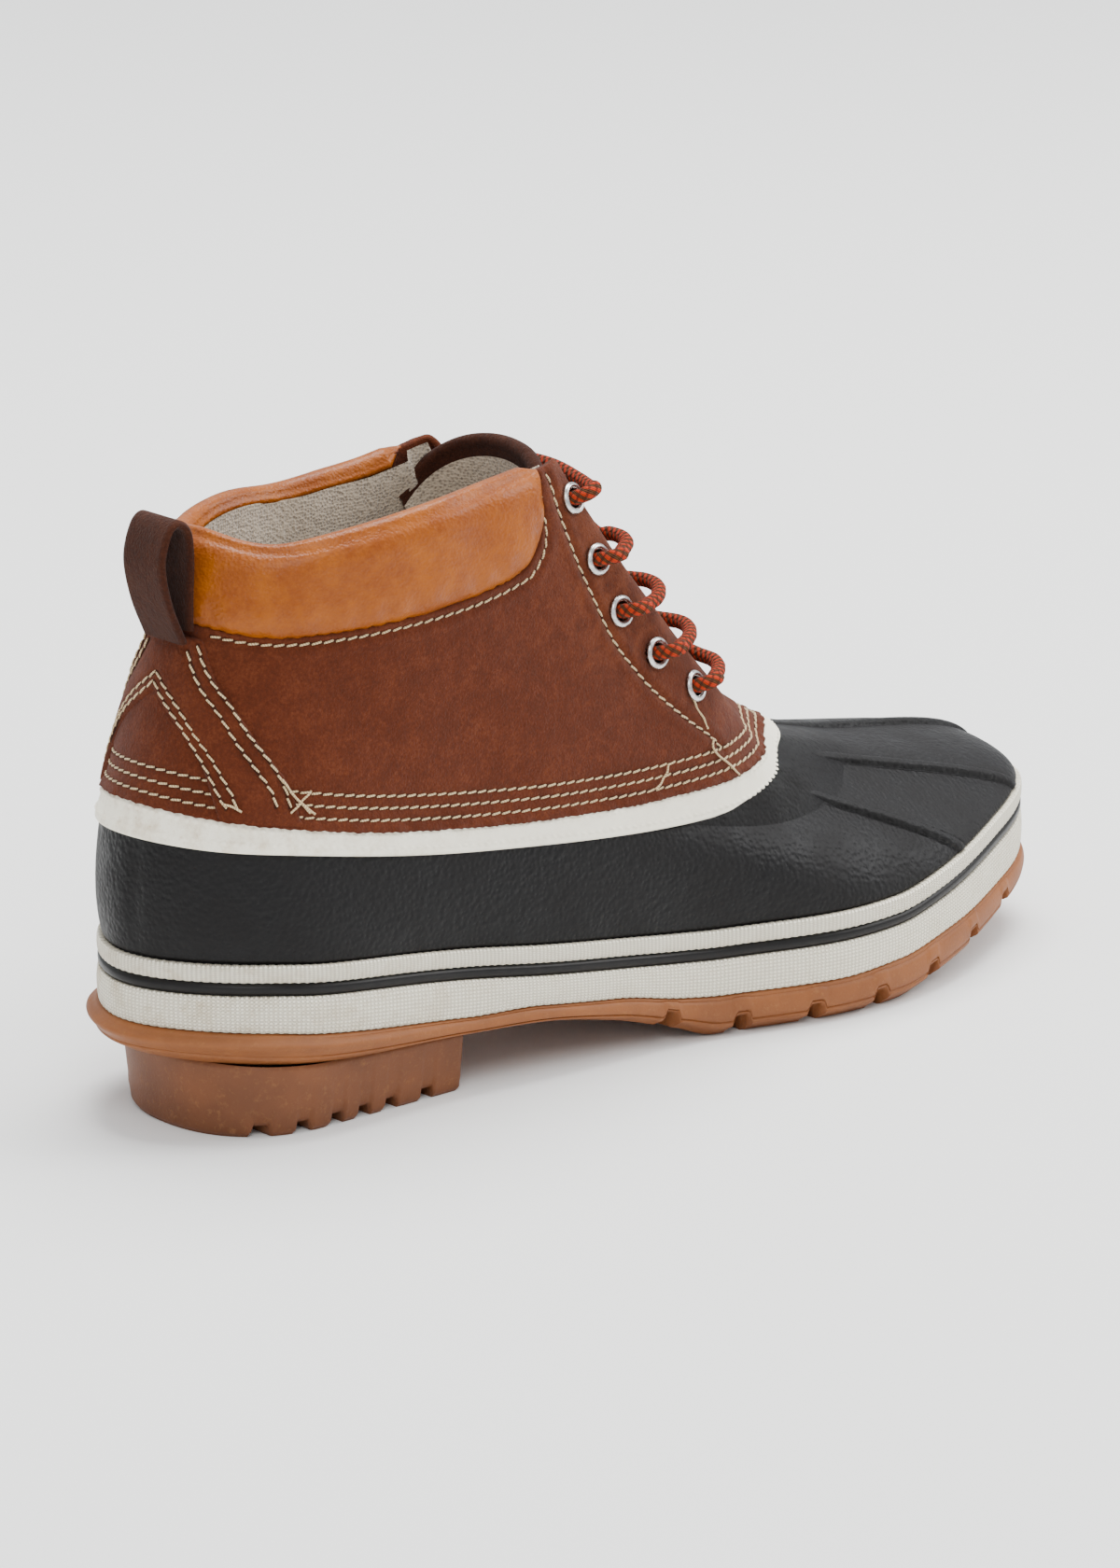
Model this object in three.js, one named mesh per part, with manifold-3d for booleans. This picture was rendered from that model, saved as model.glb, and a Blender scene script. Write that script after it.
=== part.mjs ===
// A low duck boot for the right foot: moulded rubber shell, suede upper, padded leather collar, gum sole.
// Millimetres. X runs from heel to toe, Y to the wearer's left (the inner side), Z up.
import * as THREE from 'three'
import { mergeVertices } from 'three/addons/utils/BufferGeometryUtils.js'
import Module from 'manifold-3d'

const wasm = await Module()
wasm.setup()

// Driving dimensions
const bootLength = 306
const ballWidth = 106
const heelFoxingHeight = 47
const shellInstepHeight = 68
const collarHeight = 160
const throatHeight = 83.5
const archHeight = 16
const toeSpring = 12
const foxingHeight = 17.8
const foxingThickness = 3
const stripeHeight = 3.4
const stripeRecess = 0.5
const upperBandHeight = 4.6
const shellLedge = 1.3
const shellWall = 2.2
const suedeWall = 2.2
const suedeProud = 1.5
const randThickness = 1.1
const randHeight = 9.6
const ridgeHeight = 1.3
const ridgeHalfWidth = 2.6
const collarPuff = 4.6
const collarWall = 3
const backstayThickness = 1.2
const tongueThickness = 3.4
const tongueMargin = 0.85
const tongueFoot = 9
const insoleThickness = 4
const insoleInset = 4
const soleBulge = 1.2
const soleEdgeInset = 3.2
const heelHalfWidth = 30.5
const heelShift = 3
const heelBackInset = 10.3
const heelLength = 74.5
const heelTaper = 2
const heelTreadDepth = 3
const heelTreadWidth = 4.2
const heelTreadInset = 5
const lugGap = 4.6
const lugDepth = 4
const lugReach = 24
const eyeletRadius = 4.2
const eyeletHole = 2.4
const eyeletWall = 0.7
const flangeGap = 0.6
const flangeTop = 1.4
const flangeBevel = 0.4
const boreBevel = 0.3
const cutterHeight = 12
const seatCutterHeight = 4
const laceRadius = 1.9
const laceSlack = 1.7
const laceLoose = 0.4
const laceShoulder = 1.05
const laceSteps = 10
const laceArch = 3.2
const laceDip = 1
const loopWidth = 17
const loopThickness = 1.7
const loopShift = 2.4
const clearance = 0.3

// Height of the sole's lines along the foot: shares of the boot's length and of each line's own named height.
// welt is the foxing's top, seat the white band's lower edge over it, tread the gum's lower edge.
const soleLines = [
  { along: 0.00, welt: 1.000, seat: 0.98, tread: 1.30 },
  { along: 0.07, welt: 0.987, seat: 1.00, tread: 1.20 },
  { along: 0.12, welt: 0.955, seat: 1.02, tread: 1.13 },
  { along: 0.19, welt: 0.910, seat: 1.04, tread: 1.06 },
  { along: 0.27, welt: 0.845, seat: 1.02, tread: 1.00 },
  { along: 0.35, welt: 0.770, seat: 0.90, tread: 0.92 },
  { along: 0.43, welt: 0.703, seat: 0.90, tread: 0.64 },
  { along: 0.50, welt: 0.650, seat: 0.99, tread: 0.24 },
  { along: 0.54, welt: 0.632, seat: 1.01, tread: 0.00 },
  { along: 0.65, welt: 0.625, seat: 1.02, tread: 0.00 },
  { along: 0.72, welt: 0.636, seat: 0.98, tread: 0.00 },
  { along: 0.78, welt: 0.690, seat: 0.98, tread: 0.17 },
  { along: 0.84, welt: 0.752, seat: 1.03, tread: 0.36 },
  { along: 0.92, welt: 0.830, seat: 1.06, tread: 0.62 },
  { along: 1.00, welt: 0.893, seat: 1.07, tread: 0.90 },
]

// Rings of the boot, toe centre at 0 and heel centre at 0.5 of the way round.
// x is a share of the boot's length, outer and inner are shares of the ball width.
const foxingRing = [
  { at: 0.000, x: 1.0030, outer: -0.057, inner: 0.057 },
  { at: 0.020, x: 0.9960, outer: 0.090, inner: 0.175 },
  { at: 0.035, x: 0.9830, outer: 0.180, inner: 0.252 },
  { at: 0.054, x: 0.9520, outer: 0.272, inner: 0.328 },
  { at: 0.082, x: 0.8900, outer: 0.372, inner: 0.405 },
  { at: 0.113, x: 0.8240, outer: 0.457, inner: 0.455 },
  { at: 0.153, x: 0.7350, outer: 0.522, inner: 0.474 },
  { at: 0.195, x: 0.6370, outer: 0.513, inner: 0.436 },
  { at: 0.228, x: 0.5600, outer: 0.453, inner: 0.380 },
  { at: 0.260, x: 0.4900, outer: 0.413, inner: 0.342 },
  { at: 0.317, x: 0.3590, outer: 0.390, inner: 0.323 },
  { at: 0.360, x: 0.2610, outer: 0.366, inner: 0.334 },
  { at: 0.402, x: 0.1630, outer: 0.362, inner: 0.344 },
  { at: 0.430, x: 0.0980, outer: 0.333, inner: 0.324 },
  { at: 0.462, x: 0.0380, outer: 0.222, inner: 0.226 },
  { at: 0.500, x: 0.0000, outer: 0.000, inner: 0.000 },
]

// rise is a share of the shell's height at the instep.
const shellRing = [
  { at: 0.000, x: 0.7205, outer: -0.010, inner: 0.010, rise: 0.982 },
  { at: 0.030, x: 0.7010, outer: 0.125, inner: 0.140, rise: 0.977 },
  { at: 0.054, x: 0.6800, outer: 0.184, inner: 0.196, rise: 0.963 },
  { at: 0.075, x: 0.6625, outer: 0.236, inner: 0.240, rise: 0.924 },
  { at: 0.113, x: 0.6438, outer: 0.288, inner: 0.285, rise: 0.897 },
  { at: 0.153, x: 0.5980, outer: 0.344, inner: 0.330, rise: 0.871 },
  { at: 0.195, x: 0.5294, outer: 0.373, inner: 0.350, rise: 0.869 },
  { at: 0.260, x: 0.4183, outer: 0.375, inner: 0.348, rise: 0.900 },
  { at: 0.317, x: 0.3203, outer: 0.358, inner: 0.337, rise: 0.941 },
  { at: 0.360, x: 0.2418, outer: 0.347, inner: 0.327, rise: 0.984 },
  { at: 0.402, x: 0.1570, outer: 0.326, inner: 0.316, rise: 1.044 },
  { at: 0.430, x: 0.0950, outer: 0.297, inner: 0.288, rise: 1.093 },
  { at: 0.462, x: 0.0375, outer: 0.215, inner: 0.205, rise: 1.132 },
  { at: 0.500, x: 0.0050, outer: 0.000, inner: 0.000, rise: 1.154 },
]

// rise is a share of the way from the throat to the collar's height, drop what the inner side loses of it.
const topRing = [
  { at: 0.000, x: 0.5900, outer: -0.014, inner: 0.014, rise: 0.000, drop: 0.00 },
  { at: 0.020, x: 0.5800, outer: 0.071, inner: 0.085, rise: 0.033, drop: 0.00 },
  { at: 0.040, x: 0.5510, outer: 0.108, inner: 0.113, rise: 0.144, drop: 0.00 },
  { at: 0.075, x: 0.4990, outer: 0.142, inner: 0.142, rise: 0.379, drop: 0.00 },
  { at: 0.113, x: 0.4470, outer: 0.175, inner: 0.170, rise: 0.686, drop: 0.01 },
  { at: 0.145, x: 0.4110, outer: 0.212, inner: 0.203, rise: 0.941, drop: 0.03 },
  { at: 0.156, x: 0.4030, outer: 0.228, inner: 0.217, rise: 0.993, drop: 0.03 },
  { at: 0.166, x: 0.3970, outer: 0.242, inner: 0.228, rise: 0.997, drop: 0.03 },
  { at: 0.195, x: 0.3610, outer: 0.266, inner: 0.250, rise: 0.984, drop: 0.06 },
  { at: 0.260, x: 0.2940, outer: 0.292, inner: 0.269, rise: 0.961, drop: 0.08 },
  { at: 0.317, x: 0.2390, outer: 0.300, inner: 0.274, rise: 0.935, drop: 0.07 },
  { at: 0.360, x: 0.1950, outer: 0.281, inner: 0.259, rise: 0.908, drop: 0.03 },
  { at: 0.402, x: 0.1500, outer: 0.238, inner: 0.226, rise: 0.876, drop: 0.01 },
  { at: 0.430, x: 0.1240, outer: 0.189, inner: 0.184, rise: 0.856, drop: 0.00 },
  { at: 0.462, x: 0.1023, outer: 0.116, inner: 0.116, rise: 0.864, drop: 0.00 },
  { at: 0.500, x: 0.0900, outer: 0.000, inner: 0.000, rise: 0.889, drop: 0.00 },
]

// Fullness of the wall between two rings. near and far are shares of the way between the rings;
// swell runs outwards and lift upwards, as shares of the shell's height at the instep.
const shellFullness = [
  { at: 0.000, near: 0.00, swell: 0.007, lift: 0.212, far: 0.32, farSwell: 0.000, farLift: -0.043 },
  { at: 0.030, near: 0.01, swell: 0.008, lift: 0.150, far: 0.33, farSwell: 0.000, farLift: -0.025 },
  { at: 0.054, near: 0.02, swell: 0.010, lift: 0.090, far: 0.33, farSwell: 0.000, farLift: -0.012 },
  { at: 0.113, near: 0.05, swell: 0.016, lift: 0.060, far: 0.35, farSwell: 0.006, farLift: -0.005 },
  { at: 0.153, near: 0.08, swell: 0.018, lift: 0.075, far: 0.35, farSwell: 0.015, farLift: 0.015 },
  { at: 0.195, near: 0.12, swell: 0.018, lift: 0.080, far: 0.34, farSwell: 0.020, farLift: 0.030 },
  { at: 0.260, near: 0.20, swell: 0.020, lift: 0.045, far: 0.33, farSwell: 0.020, farLift: 0.012 },
  { at: 0.360, near: 0.30, swell: 0.020, lift: 0.000, far: 0.33, farSwell: 0.014, farLift: 0.000 },
  { at: 0.500, near: 0.30, swell: 0.036, lift: 0.000, far: 0.33, farSwell: 0.022, farLift: 0.000 },
]
const suedeFullness = [
  { at: 0.000, near: 0.32, swell: 0.000, lift: 0.020, far: 0.32, farSwell: 0.000, farLift: 0.010 },
  { at: 0.040, near: 0.32, swell: 0.015, lift: 0.035, far: 0.32, farSwell: 0.015, farLift: 0.025 },
  { at: 0.075, near: 0.32, swell: 0.035, lift: 0.050, far: 0.32, farSwell: 0.030, farLift: 0.020 },
  { at: 0.113, near: 0.32, swell: 0.035, lift: 0.080, far: 0.32, farSwell: 0.030, farLift: 0.010 },
  { at: 0.156, near: 0.32, swell: 0.025, lift: 0.100, far: 0.32, farSwell: 0.020, farLift: 0.000 },
  { at: 0.260, near: 0.32, swell: 0.008, lift: 0.050, far: 0.32, farSwell: -0.022, farLift: 0.000 },
  { at: 0.400, near: 0.32, swell: 0.004, lift: 0.000, far: 0.32, farSwell: -0.014, farLift: 0.000 },
  { at: 0.500, near: 0.32, swell: 0.004, lift: 0.000, far: 0.32, farSwell: -0.014, farLift: 0.000 },
]

// Height of the white rand round the shell's top, as shares of its height at the heel.
const randLine = [
  { at: 0.000, tall: 0.95 }, { at: 0.054, tall: 1.04 }, { at: 0.113, tall: 1.00 }, { at: 0.195, tall: 0.98 },
  { at: 0.260, tall: 0.88 }, { at: 0.360, tall: 0.80 }, { at: 0.430, tall: 0.80 }, { at: 0.500, tall: 1.00 },
]
const ridgePlaces = [-0.113, -0.054, 0, 0.054, 0.113]

// Side view outlines, as shares of the boot's length and the collar's height
const collarOutline = [
  [-0.05, 1.10], [-0.05, 0.805], [0.066, 0.805], [0.110, 0.803], [0.190, 0.812], [0.256, 0.823],
  [0.322, 0.837], [0.350, 0.850], [0.370, 0.870], [0.381, 0.905], [0.383, 1.10],
]
const backstayOutline = [
  [0.072, 0.795], [-0.08, 0.795], [-0.08, 0.44], [0.127, 0.44],
  [0.127, 0.535], [0.096, 0.627], [0.075, 0.733],
]
const chevronOutline = [
  [-0.08, 0.40], [0.076, 0.40], [0.074, 0.53], [0.055, 0.640], [0.034, 0.745], [-0.08, 0.745],
]

// Cubic through the rows of a table, periodic for rings, flat where neighbouring rows are level otherwise
function track(knots, values, level) {
  const count = knots.length
  const gap = i => knots[i + 1] - knots[i]
  const rise = i => (values[i + 1] - values[i]) / gap(i)
  const slope = values.map((_, i) => {
    if (i === 0 || i === count - 1) return 0
    const before = rise(i - 1), after = rise(i)
    if (level && before * after <= 0) return 0
    if (level) return 2 * before * after / (before + after)
    return (gap(i) * before + gap(i - 1) * after) / (gap(i) + gap(i - 1))
  })
  if (!level) slope[0] = slope[count - 1] = (rise(0) + rise(count - 2)) / 2
  return at => {
    let i = 0
    while (i < count - 2 && at > knots[i + 1]) i++
    const width = gap(i)
    const t = Math.min(Math.max((at - knots[i]) / width, 0), 1)
    const a = 2 * t ** 3 - 3 * t ** 2 + 1, b = t ** 3 - 2 * t ** 2 + t
    const c = -2 * t ** 3 + 3 * t ** 2, d = t ** 3 - t ** 2
    return a * values[i] + b * width * slope[i] + c * values[i + 1] + d * width * slope[i + 1]
  }
}

// A column of a ring's table, mirrored round the heel; the inner side may have its own value
function around(table, outerValue, innerValue = outerValue) {
  const back = table.slice(0, -1).reverse()
  const knots = [...table.map(row => row.at), ...back.map(row => 1 - row.at)]
  const values = [...table.map(outerValue), ...back.map(innerValue)]
  const curve = track(knots, values, false)
  return at => curve(((at % 1) + 1) % 1)
}

function along(column, size) {
  const curve = track(soleLines.map(row => row.along), soleLines.map(row => row[column] * size), true)
  return x => curve(x / bootLength)
}

const weltHeight = along('welt', heelFoxingHeight)
const bandHeight = along('seat', foxingHeight)
const treadHeight = along('tread', archHeight)
const toeLift = x => Math.max(x / bootLength - 0.72, 0) ** 1.5 * toeSpring
const seatHeight = x => weltHeight(x) - bandHeight(x)

function ringPoint(table, rise) {
  const x = around(table, row => row.x * bootLength)
  const y = around(table, row => -row.outer * ballWidth, row => row.inner * ballWidth)
  return at => new THREE.Vector3(x(at), y(at), rise(at, x(at)))
}
const shellRise = around(shellRing, row => row.rise * shellInstepHeight)
const topSpan = collarHeight - throatHeight
const topRise = around(topRing, row => throatHeight + row.rise * topSpan,
  row => throatHeight + (row.rise - row.drop) * topSpan)
const foxingLine = ringPoint(foxingRing, (at, x) => weltHeight(x))
const shellLine = ringPoint(shellRing, shellRise)
const topLine = ringPoint(topRing, topRise)
const randRise = around(randLine, row => row.tall * randHeight)

// Outward direction in plan at a place round the sole
function outward(at) {
  const step = 0.004
  const way = foxingLine(at + step).sub(foxingLine(at - step))
  return new THREE.Vector3(way.y, -way.x, 0).normalize().negate()
}

function bezier(a, b, c, d, t) {
  const s = 1 - t
  return a.clone().multiplyScalar(s ** 3).addScaledVector(b, 3 * s * s * t)
    .addScaledVector(c, 3 * s * t * t).addScaledVector(d, t ** 3)
}

function fullness(table) {
  const column = name => around(table, row => row[name])
  return ['near', 'swell', 'lift', 'far', 'farSwell', 'farLift'].map(column)
}
const shellShape = fullness(shellFullness)
const suedeShape = fullness(suedeFullness)

function between(low, high, shape, at, t) {
  const [near, swell, lift, far, farSwell, farLift] = shape.map(column => column(at))
  const out = outward(at)
  const first = low.clone().lerp(high, near).addScaledVector(out, swell * shellInstepHeight)
  const second = high.clone().lerp(low, far).addScaledVector(out, farSwell * shellInstepHeight)
  first.z += lift * shellInstepHeight
  second.z += farLift * shellInstepHeight
  return bezier(low, first, second, high, t)
}

// The whole wall: level 0 at the foxing's top, 1 at the rand's foot, 2 at the collar and throat
function wallPoint(at, level) {
  if (level > 1) return between(shellLine(at), topLine(at), suedeShape, at, level - 1)
  const foot = foxingLine(at).addScaledVector(outward(at), -shellLedge)
  return between(foot, shellLine(at), shellShape, at, level)
}
function wallNormal(at, level) {
  const step = 0.003, lowest = Math.max(level - 0.02, 0), highest = Math.min(level + 0.02, 2)
  const round = wallPoint(at + step, level).sub(wallPoint(at - step, level))
  const rise = wallPoint(at, highest).sub(wallPoint(at, lowest))
  return rise.cross(round).normalize()
}
const wallOffset = (at, level, offset) => wallPoint(at, level).addScaledVector(wallNormal(at, level), offset)

// Places round the boot where the meshes have a column: even ones, and three on each ridge of the vamp
const ridgeShare = ridgeHalfWidth / (2 * bootLength)
const evenColumnCount = 38
const evenColumns = Array.from({ length: evenColumnCount }, (_, i) => i / evenColumnCount)
const ridgeColumns = ridgePlaces.flatMap(at => [at - ridgeShare, at, at + ridgeShare]).map(at => (at + 1) % 1)
const farFromRidge = at => ridgePlaces.every(ridge => Math.abs(((at - ridge + 1.5) % 1) - 0.5) > 0.012)
const columns = [...evenColumns.filter(farFromRidge), ...ridgeColumns].sort((a, b) => a - b)
const onRidge = at => ridgePlaces.some(ridge => Math.abs(((at - ridge + 1.5) % 1) - 0.5) < 1e-6)

// Solids from rings of points
function geometryFrom(points, faces) {
  const geometry = new THREE.BufferGeometry()
  geometry.setAttribute('position', new THREE.Float32BufferAttribute(points.flatMap(p => [p.x, p.y, p.z]), 3))
  geometry.setIndex(faces)
  return geometry
}
// Strips between rings; past the turn they run downwards, so their diagonals match the outer side's
function stitchRings(rings, closed, turn = rings.length) {
  const count = rings[0].length
  const faces = []
  const last = closed ? rings.length : rings.length - 1
  for (let r = 0; r < last; r++) {
    const lower = r * count, upper = ((r + 1) % rings.length) * count
    for (let i = 0; i < count; i++) {
      const j = (i + 1) % count
      if (r >= turn) faces.push(lower + i, upper + i, upper + j, lower + i, upper + j, lower + j)
      else faces.push(lower + i, upper + i, lower + j, lower + j, upper + i, upper + j)
    }
  }
  return faces
}
function capFaces(start, count, up) {
  const faces = []
  for (let i = 1; i <= count / 2; i++) {
    const a = start + i - 1, b = start + i
    const c = start + (count - i) % count, d = start + (count - i + 1) % count
    const corners = [a, b, c, d].filter((n, k, all) => all.indexOf(n) === k)
    for (let k = 1; k < corners.length - 1; k++) {
      const face = [corners[0], corners[k], corners[k + 1]]
      faces.push(...(up ? face.reverse() : face))
    }
  }
  return faces
}
const hollowSolid = rings => solid(geometryFrom(rings.flat(), stitchRings(rings, true, rings.length / 2)))
function filledSolid(rings) {
  const count = rings[0].length
  const faces = [...stitchRings(rings, false), ...capFaces(0, count, false),
    ...capFaces((rings.length - 1) * count, count, true)]
  return solid(geometryFrom(rings.flat(), faces))
}

// Closed geometry to a solid for joining and cutting, and back
function solid(geometry) {
  const bare = geometry.clone()
  bare.deleteAttribute('normal')
  bare.deleteAttribute('uv')
  const merged = mergeVertices(bare, 1e-4)
  const index = Array.from(merged.index.array)
  const position = merged.attributes.position
  let volume = 0
  const corner = n => new THREE.Vector3().fromBufferAttribute(position, n)
  for (let i = 0; i < index.length; i += 3) {
    volume += corner(index[i]).dot(corner(index[i + 1]).cross(corner(index[i + 2])))
  }
  if (volume < 0) index.reverse()
  return new wasm.Manifold(new wasm.Mesh({
    numProp: 3, vertProperties: Float32Array.from(position.array), triVerts: Uint32Array.from(index),
  }))
}
function geometryOf(shape) {
  const mesh = shape.getMesh()
  const geometry = new THREE.BufferGeometry()
  geometry.setAttribute('position', new THREE.BufferAttribute(mesh.vertProperties, 3))
  geometry.setIndex(new THREE.BufferAttribute(mesh.triVerts, 1))
  return geometry
}
function sidePrism(outline, slack = 0) {
  const shape = new THREE.Shape(outline.map(([x, z]) => new THREE.Vector2(x * bootLength, z * collarHeight)))
  const block = new THREE.ExtrudeGeometry(shape, { depth: 2 * ballWidth, bevelEnabled: false })
  block.rotateX(Math.PI / 2)
  block.translate(slack, ballWidth, -slack)
  return solid(block)
}
function box(lengthX, lengthY, lengthZ, x, y, z) {
  return solid(new THREE.BoxGeometry(lengthX, lengthY, lengthZ).translate(x, y, z))
}

const group = new THREE.Group()
function add(name, shape, colour, roughness, metalness = 0) {
  const material = new THREE.MeshStandardMaterial({ color: colour, roughness, metalness })
  const mesh = new THREE.Mesh(geometryOf(shape), material)
  mesh.name = name
  group.add(mesh)
  return shape
}

// A ring round the sole at an inset from the foxing's outline
function soleRing(inset, height) {
  return columns.map(at => {
    const point = foxingLine(at).addScaledVector(outward(at), -inset)
    point.z = height(point.x)
    return point
  })
}

const gum = '#b9783f'
const white = '#e6e1d0'
const black = '#2b2a2a'
const suede = '#7a4126'

// Outsole with its transverse lugs
const outsoleTop = x => seatHeight(x) - clearance
const soleFloor = x => treadHeight(x) + toeLift(x)
const midGum = x => (outsoleTop(x) + soleFloor(x)) / 2
function outsole() {
  let sole = filledSolid([
    soleRing(soleEdgeInset, soleFloor),
    soleRing(0, x => soleFloor(x) + (outsoleTop(x) - soleFloor(x)) * 0.3),
    soleRing(-soleBulge, midGum),
    soleRing(-0.2, outsoleTop),
  ])
  const lugPlaces = [0.485, 0.555, 0.625, 0.695, 0.765, 0.835, 0.905]
  for (const share of lugPlaces) {
    const x = share * bootLength
    for (const side of [-1, 1]) {
      const y = side * ((ballWidth - lugReach) / 2 + lugGap)
      sole = sole.subtract(box(lugGap, lugReach + 2 * lugGap, 2 * lugDepth, x, y, soleFloor(x)))
    }
  }
  return sole
}

// Heel block: squarish round back, straight breast, grooves across its tread
function heelRing(z, grow) {
  const half = heelHalfWidth + grow
  const back = heelBackInset - grow
  const breast = heelBackInset + heelLength
  const steps = 7
  const power = 2 / 2.3
  const arc = Array.from({ length: steps + 1 }, (_, i) => {
    const angle = Math.PI / 2 * i / steps
    return [back + half - half * Math.cos(angle) ** power, half * Math.sin(angle) ** power]
  })
  const innerSide = [...arc, [breast, half]]
  const outerSide = innerSide.slice(1).reverse().map(([x, y]) => [x, -y])
  return [...innerSide, [breast, 0], ...outerSide].map(([x, y]) => new THREE.Vector3(x, y - heelShift, z(x)))
}
function heel() {
  let block = filledSolid([heelRing(() => 0, 0), heelRing(x => soleFloor(x) - clearance, heelTaper)])
  const grooves = [0.16, 0.30, 0.44, 0.56, 0.68, 0.84]
  for (const share of grooves) {
    const x = heelBackInset + share * heelLength
    for (const side of [-1, 1]) {
      const y = side * (heelHalfWidth - heelTreadInset) - heelShift
      block = block.subtract(box(heelTreadWidth, lugReach, 2 * heelTreadDepth, x, y, 0))
    }
  }
  return block
}

// Foxing: white band, black stripe and white top band, each a ring round the shell's skirt
function foxingBand(low, high, recess) {
  const face = height => soleRing(recess, height)
  const back = height => soleRing(foxingThickness, height)
  return hollowSolid([face(low), face(high), back(high), back(low)])
}
const stripeFoot = x => weltHeight(x) - upperBandHeight - stripeHeight
const stripeTop = x => weltHeight(x) - upperBandHeight

// Shell: skirt behind the foxing, then the moulded wall with its ridges, up to the rand's top
const randLevel = at => 1 + randRise(at) / shellLine(at).distanceTo(topLine(at))
function shell() {
  const skirt = foxingThickness + clearance
  const levels = [0, 0.12, 0.26, 0.42, 0.6, 0.8, 1]
  const outerAt = (at, level) => {
    const fade = Math.max(Math.sin(Math.PI * level), 0) ** 0.5
    return wallOffset(at, level, onRidge(at) ? ridgeHeight * fade : 0)
  }
  const top = offset => columns.map(at => wallOffset(at, randLevel(at), offset))
  const outer = levels.map(level => columns.map(at => outerAt(at, level)))
  const inner = levels.map(level => columns.map(at => wallOffset(at, level, -shellWall))).reverse()
  const lift = x => weltHeight(x) + clearance
  const ledge = columns.map(at => {
    const point = wallPoint(at, 0)
    point.z = lift(point.x)
    return point
  })
  return hollowSolid([
    soleRing(skirt, x => seatHeight(x)), soleRing(skirt, lift), ledge, ...outer.slice(1), top(0),
    top(-shellWall), ...inner.slice(0, -1), soleRing(skirt + shellWall, lift),
    soleRing(skirt + shellWall, x => seatHeight(x)),
  ])
}
function rand() {
  const ring = (share, offset) => columns.map(at => wallOffset(at, 1 + share * (randLevel(at) - 1), offset))
  const near = clearance, far = clearance + randThickness
  return hollowSolid([ring(0, far), ring(1, far), ring(1, near), ring(0, near)])
}

// Suede upper: from the rand's top to the collar and the throat
const suedeShares = [0, 0.12, 0.28, 0.46, 0.64, 0.83, 1]
function suedeWallSolid(inside, outside, shares = suedeShares) {
  const gap = at => clearance / shellLine(at).distanceTo(topLine(at))
  const level = (at, share) => {
    const foot = randLevel(at) + gap(at) * 2
    return foot + share * (2 - foot)
  }
  const ring = offset => share => columns.map(at => wallOffset(at, level(at, share), offset(share)))
  return hollowSolid([...shares.map(ring(outside)), ...[...shares].reverse().map(ring(inside))])
}
const puffShares = [0.6, 1.04]
function swelling(share) {
  const [start, end] = puffShares
  return Math.max(Math.sin(Math.PI * (share - start) / (end - start)), 0) ** 0.6
}
const puff = size => share => size * swelling(share)
const collarShares = [0.56, 0.63, 0.68, 0.75, 0.83, 0.91, 0.97, 1]

// Eyelets sit on the side of the facing, behind the ridge over which its front turns in towards the tongue
const eyeletPlaces = [
  { at: 0.170, level: 1.895 }, { at: 0.178, level: 1.725 }, { at: 0.182, level: 1.575 },
  { at: 0.173, level: 1.438 }, { at: 0.156, level: 1.320 },
]
const facingStep = 0.018
const placeOn = (at, side) => side > 0 ? 1 - at : at
function eyeletFrame({ at, level }, side) {
  const place = placeOn(at, side)
  return { at, level, side, centre: wallOffset(place, level, suedeProud), normal: wallNormal(place, level) }
}
// Where the wall has the eyelet's height, from the eyelet round the ridge to the facing's edge
function facingRoute({ at, level, side }) {
  const height = wallPoint(placeOn(at, side), level).z
  const route = []
  for (let share = at - facingStep; share > 0; share -= facingStep) {
    const place = placeOn(share, side)
    if (topLine(place).z < height) break
    let low = 1, high = 2
    for (let i = 0; i < 30; i++) {
      const middle = (low + high) / 2
      if (wallPoint(place, middle).z < height) low = middle
      else high = middle
    }
    route.push({ place, level: low })
  }
  return route
}
function turned(geometry, frame) {
  const turn = new THREE.Quaternion().setFromUnitVectors(new THREE.Vector3(0, 1, 0), frame.normal)
  return solid(geometry.clone().applyQuaternion(turn).translate(...frame.centre.toArray()))
}
const sides = [{ name: 'outer', sign: -1 }, { name: 'inner', sign: 1 }]
const eyelets = eyeletPlaces.flatMap((place, row) => sides.map(side => (
  { row, side, name: `eyelet_${side.name}_${row + 1}`, frame: eyeletFrame(place, side.sign) })))
const barrelRadius = eyeletHole + eyeletWall
const eyeletProfile = [
  [eyeletHole, -suedeWall], [barrelRadius, -suedeWall], [barrelRadius, flangeGap], [eyeletRadius, flangeGap],
  [eyeletRadius - flangeBevel, flangeTop], [eyeletHole + boreBevel, flangeTop],
].map(([radius, z]) => new THREE.Vector2(radius, z))
const eyeletShape = new THREE.LatheGeometry([...eyeletProfile, eyeletProfile[0]], 8)
const holeRadius = barrelRadius + clearance
const holeCutter = new THREE.CylinderGeometry(holeRadius, holeRadius, cutterHeight, 8)
const seatRadius = eyeletRadius + clearance
const seatCutter = new THREE.CylinderGeometry(seatRadius, seatRadius, seatCutterHeight, 8)
seatCutter.translate(0, seatCutterHeight / 2 + flangeGap - clearance, 0)

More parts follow.
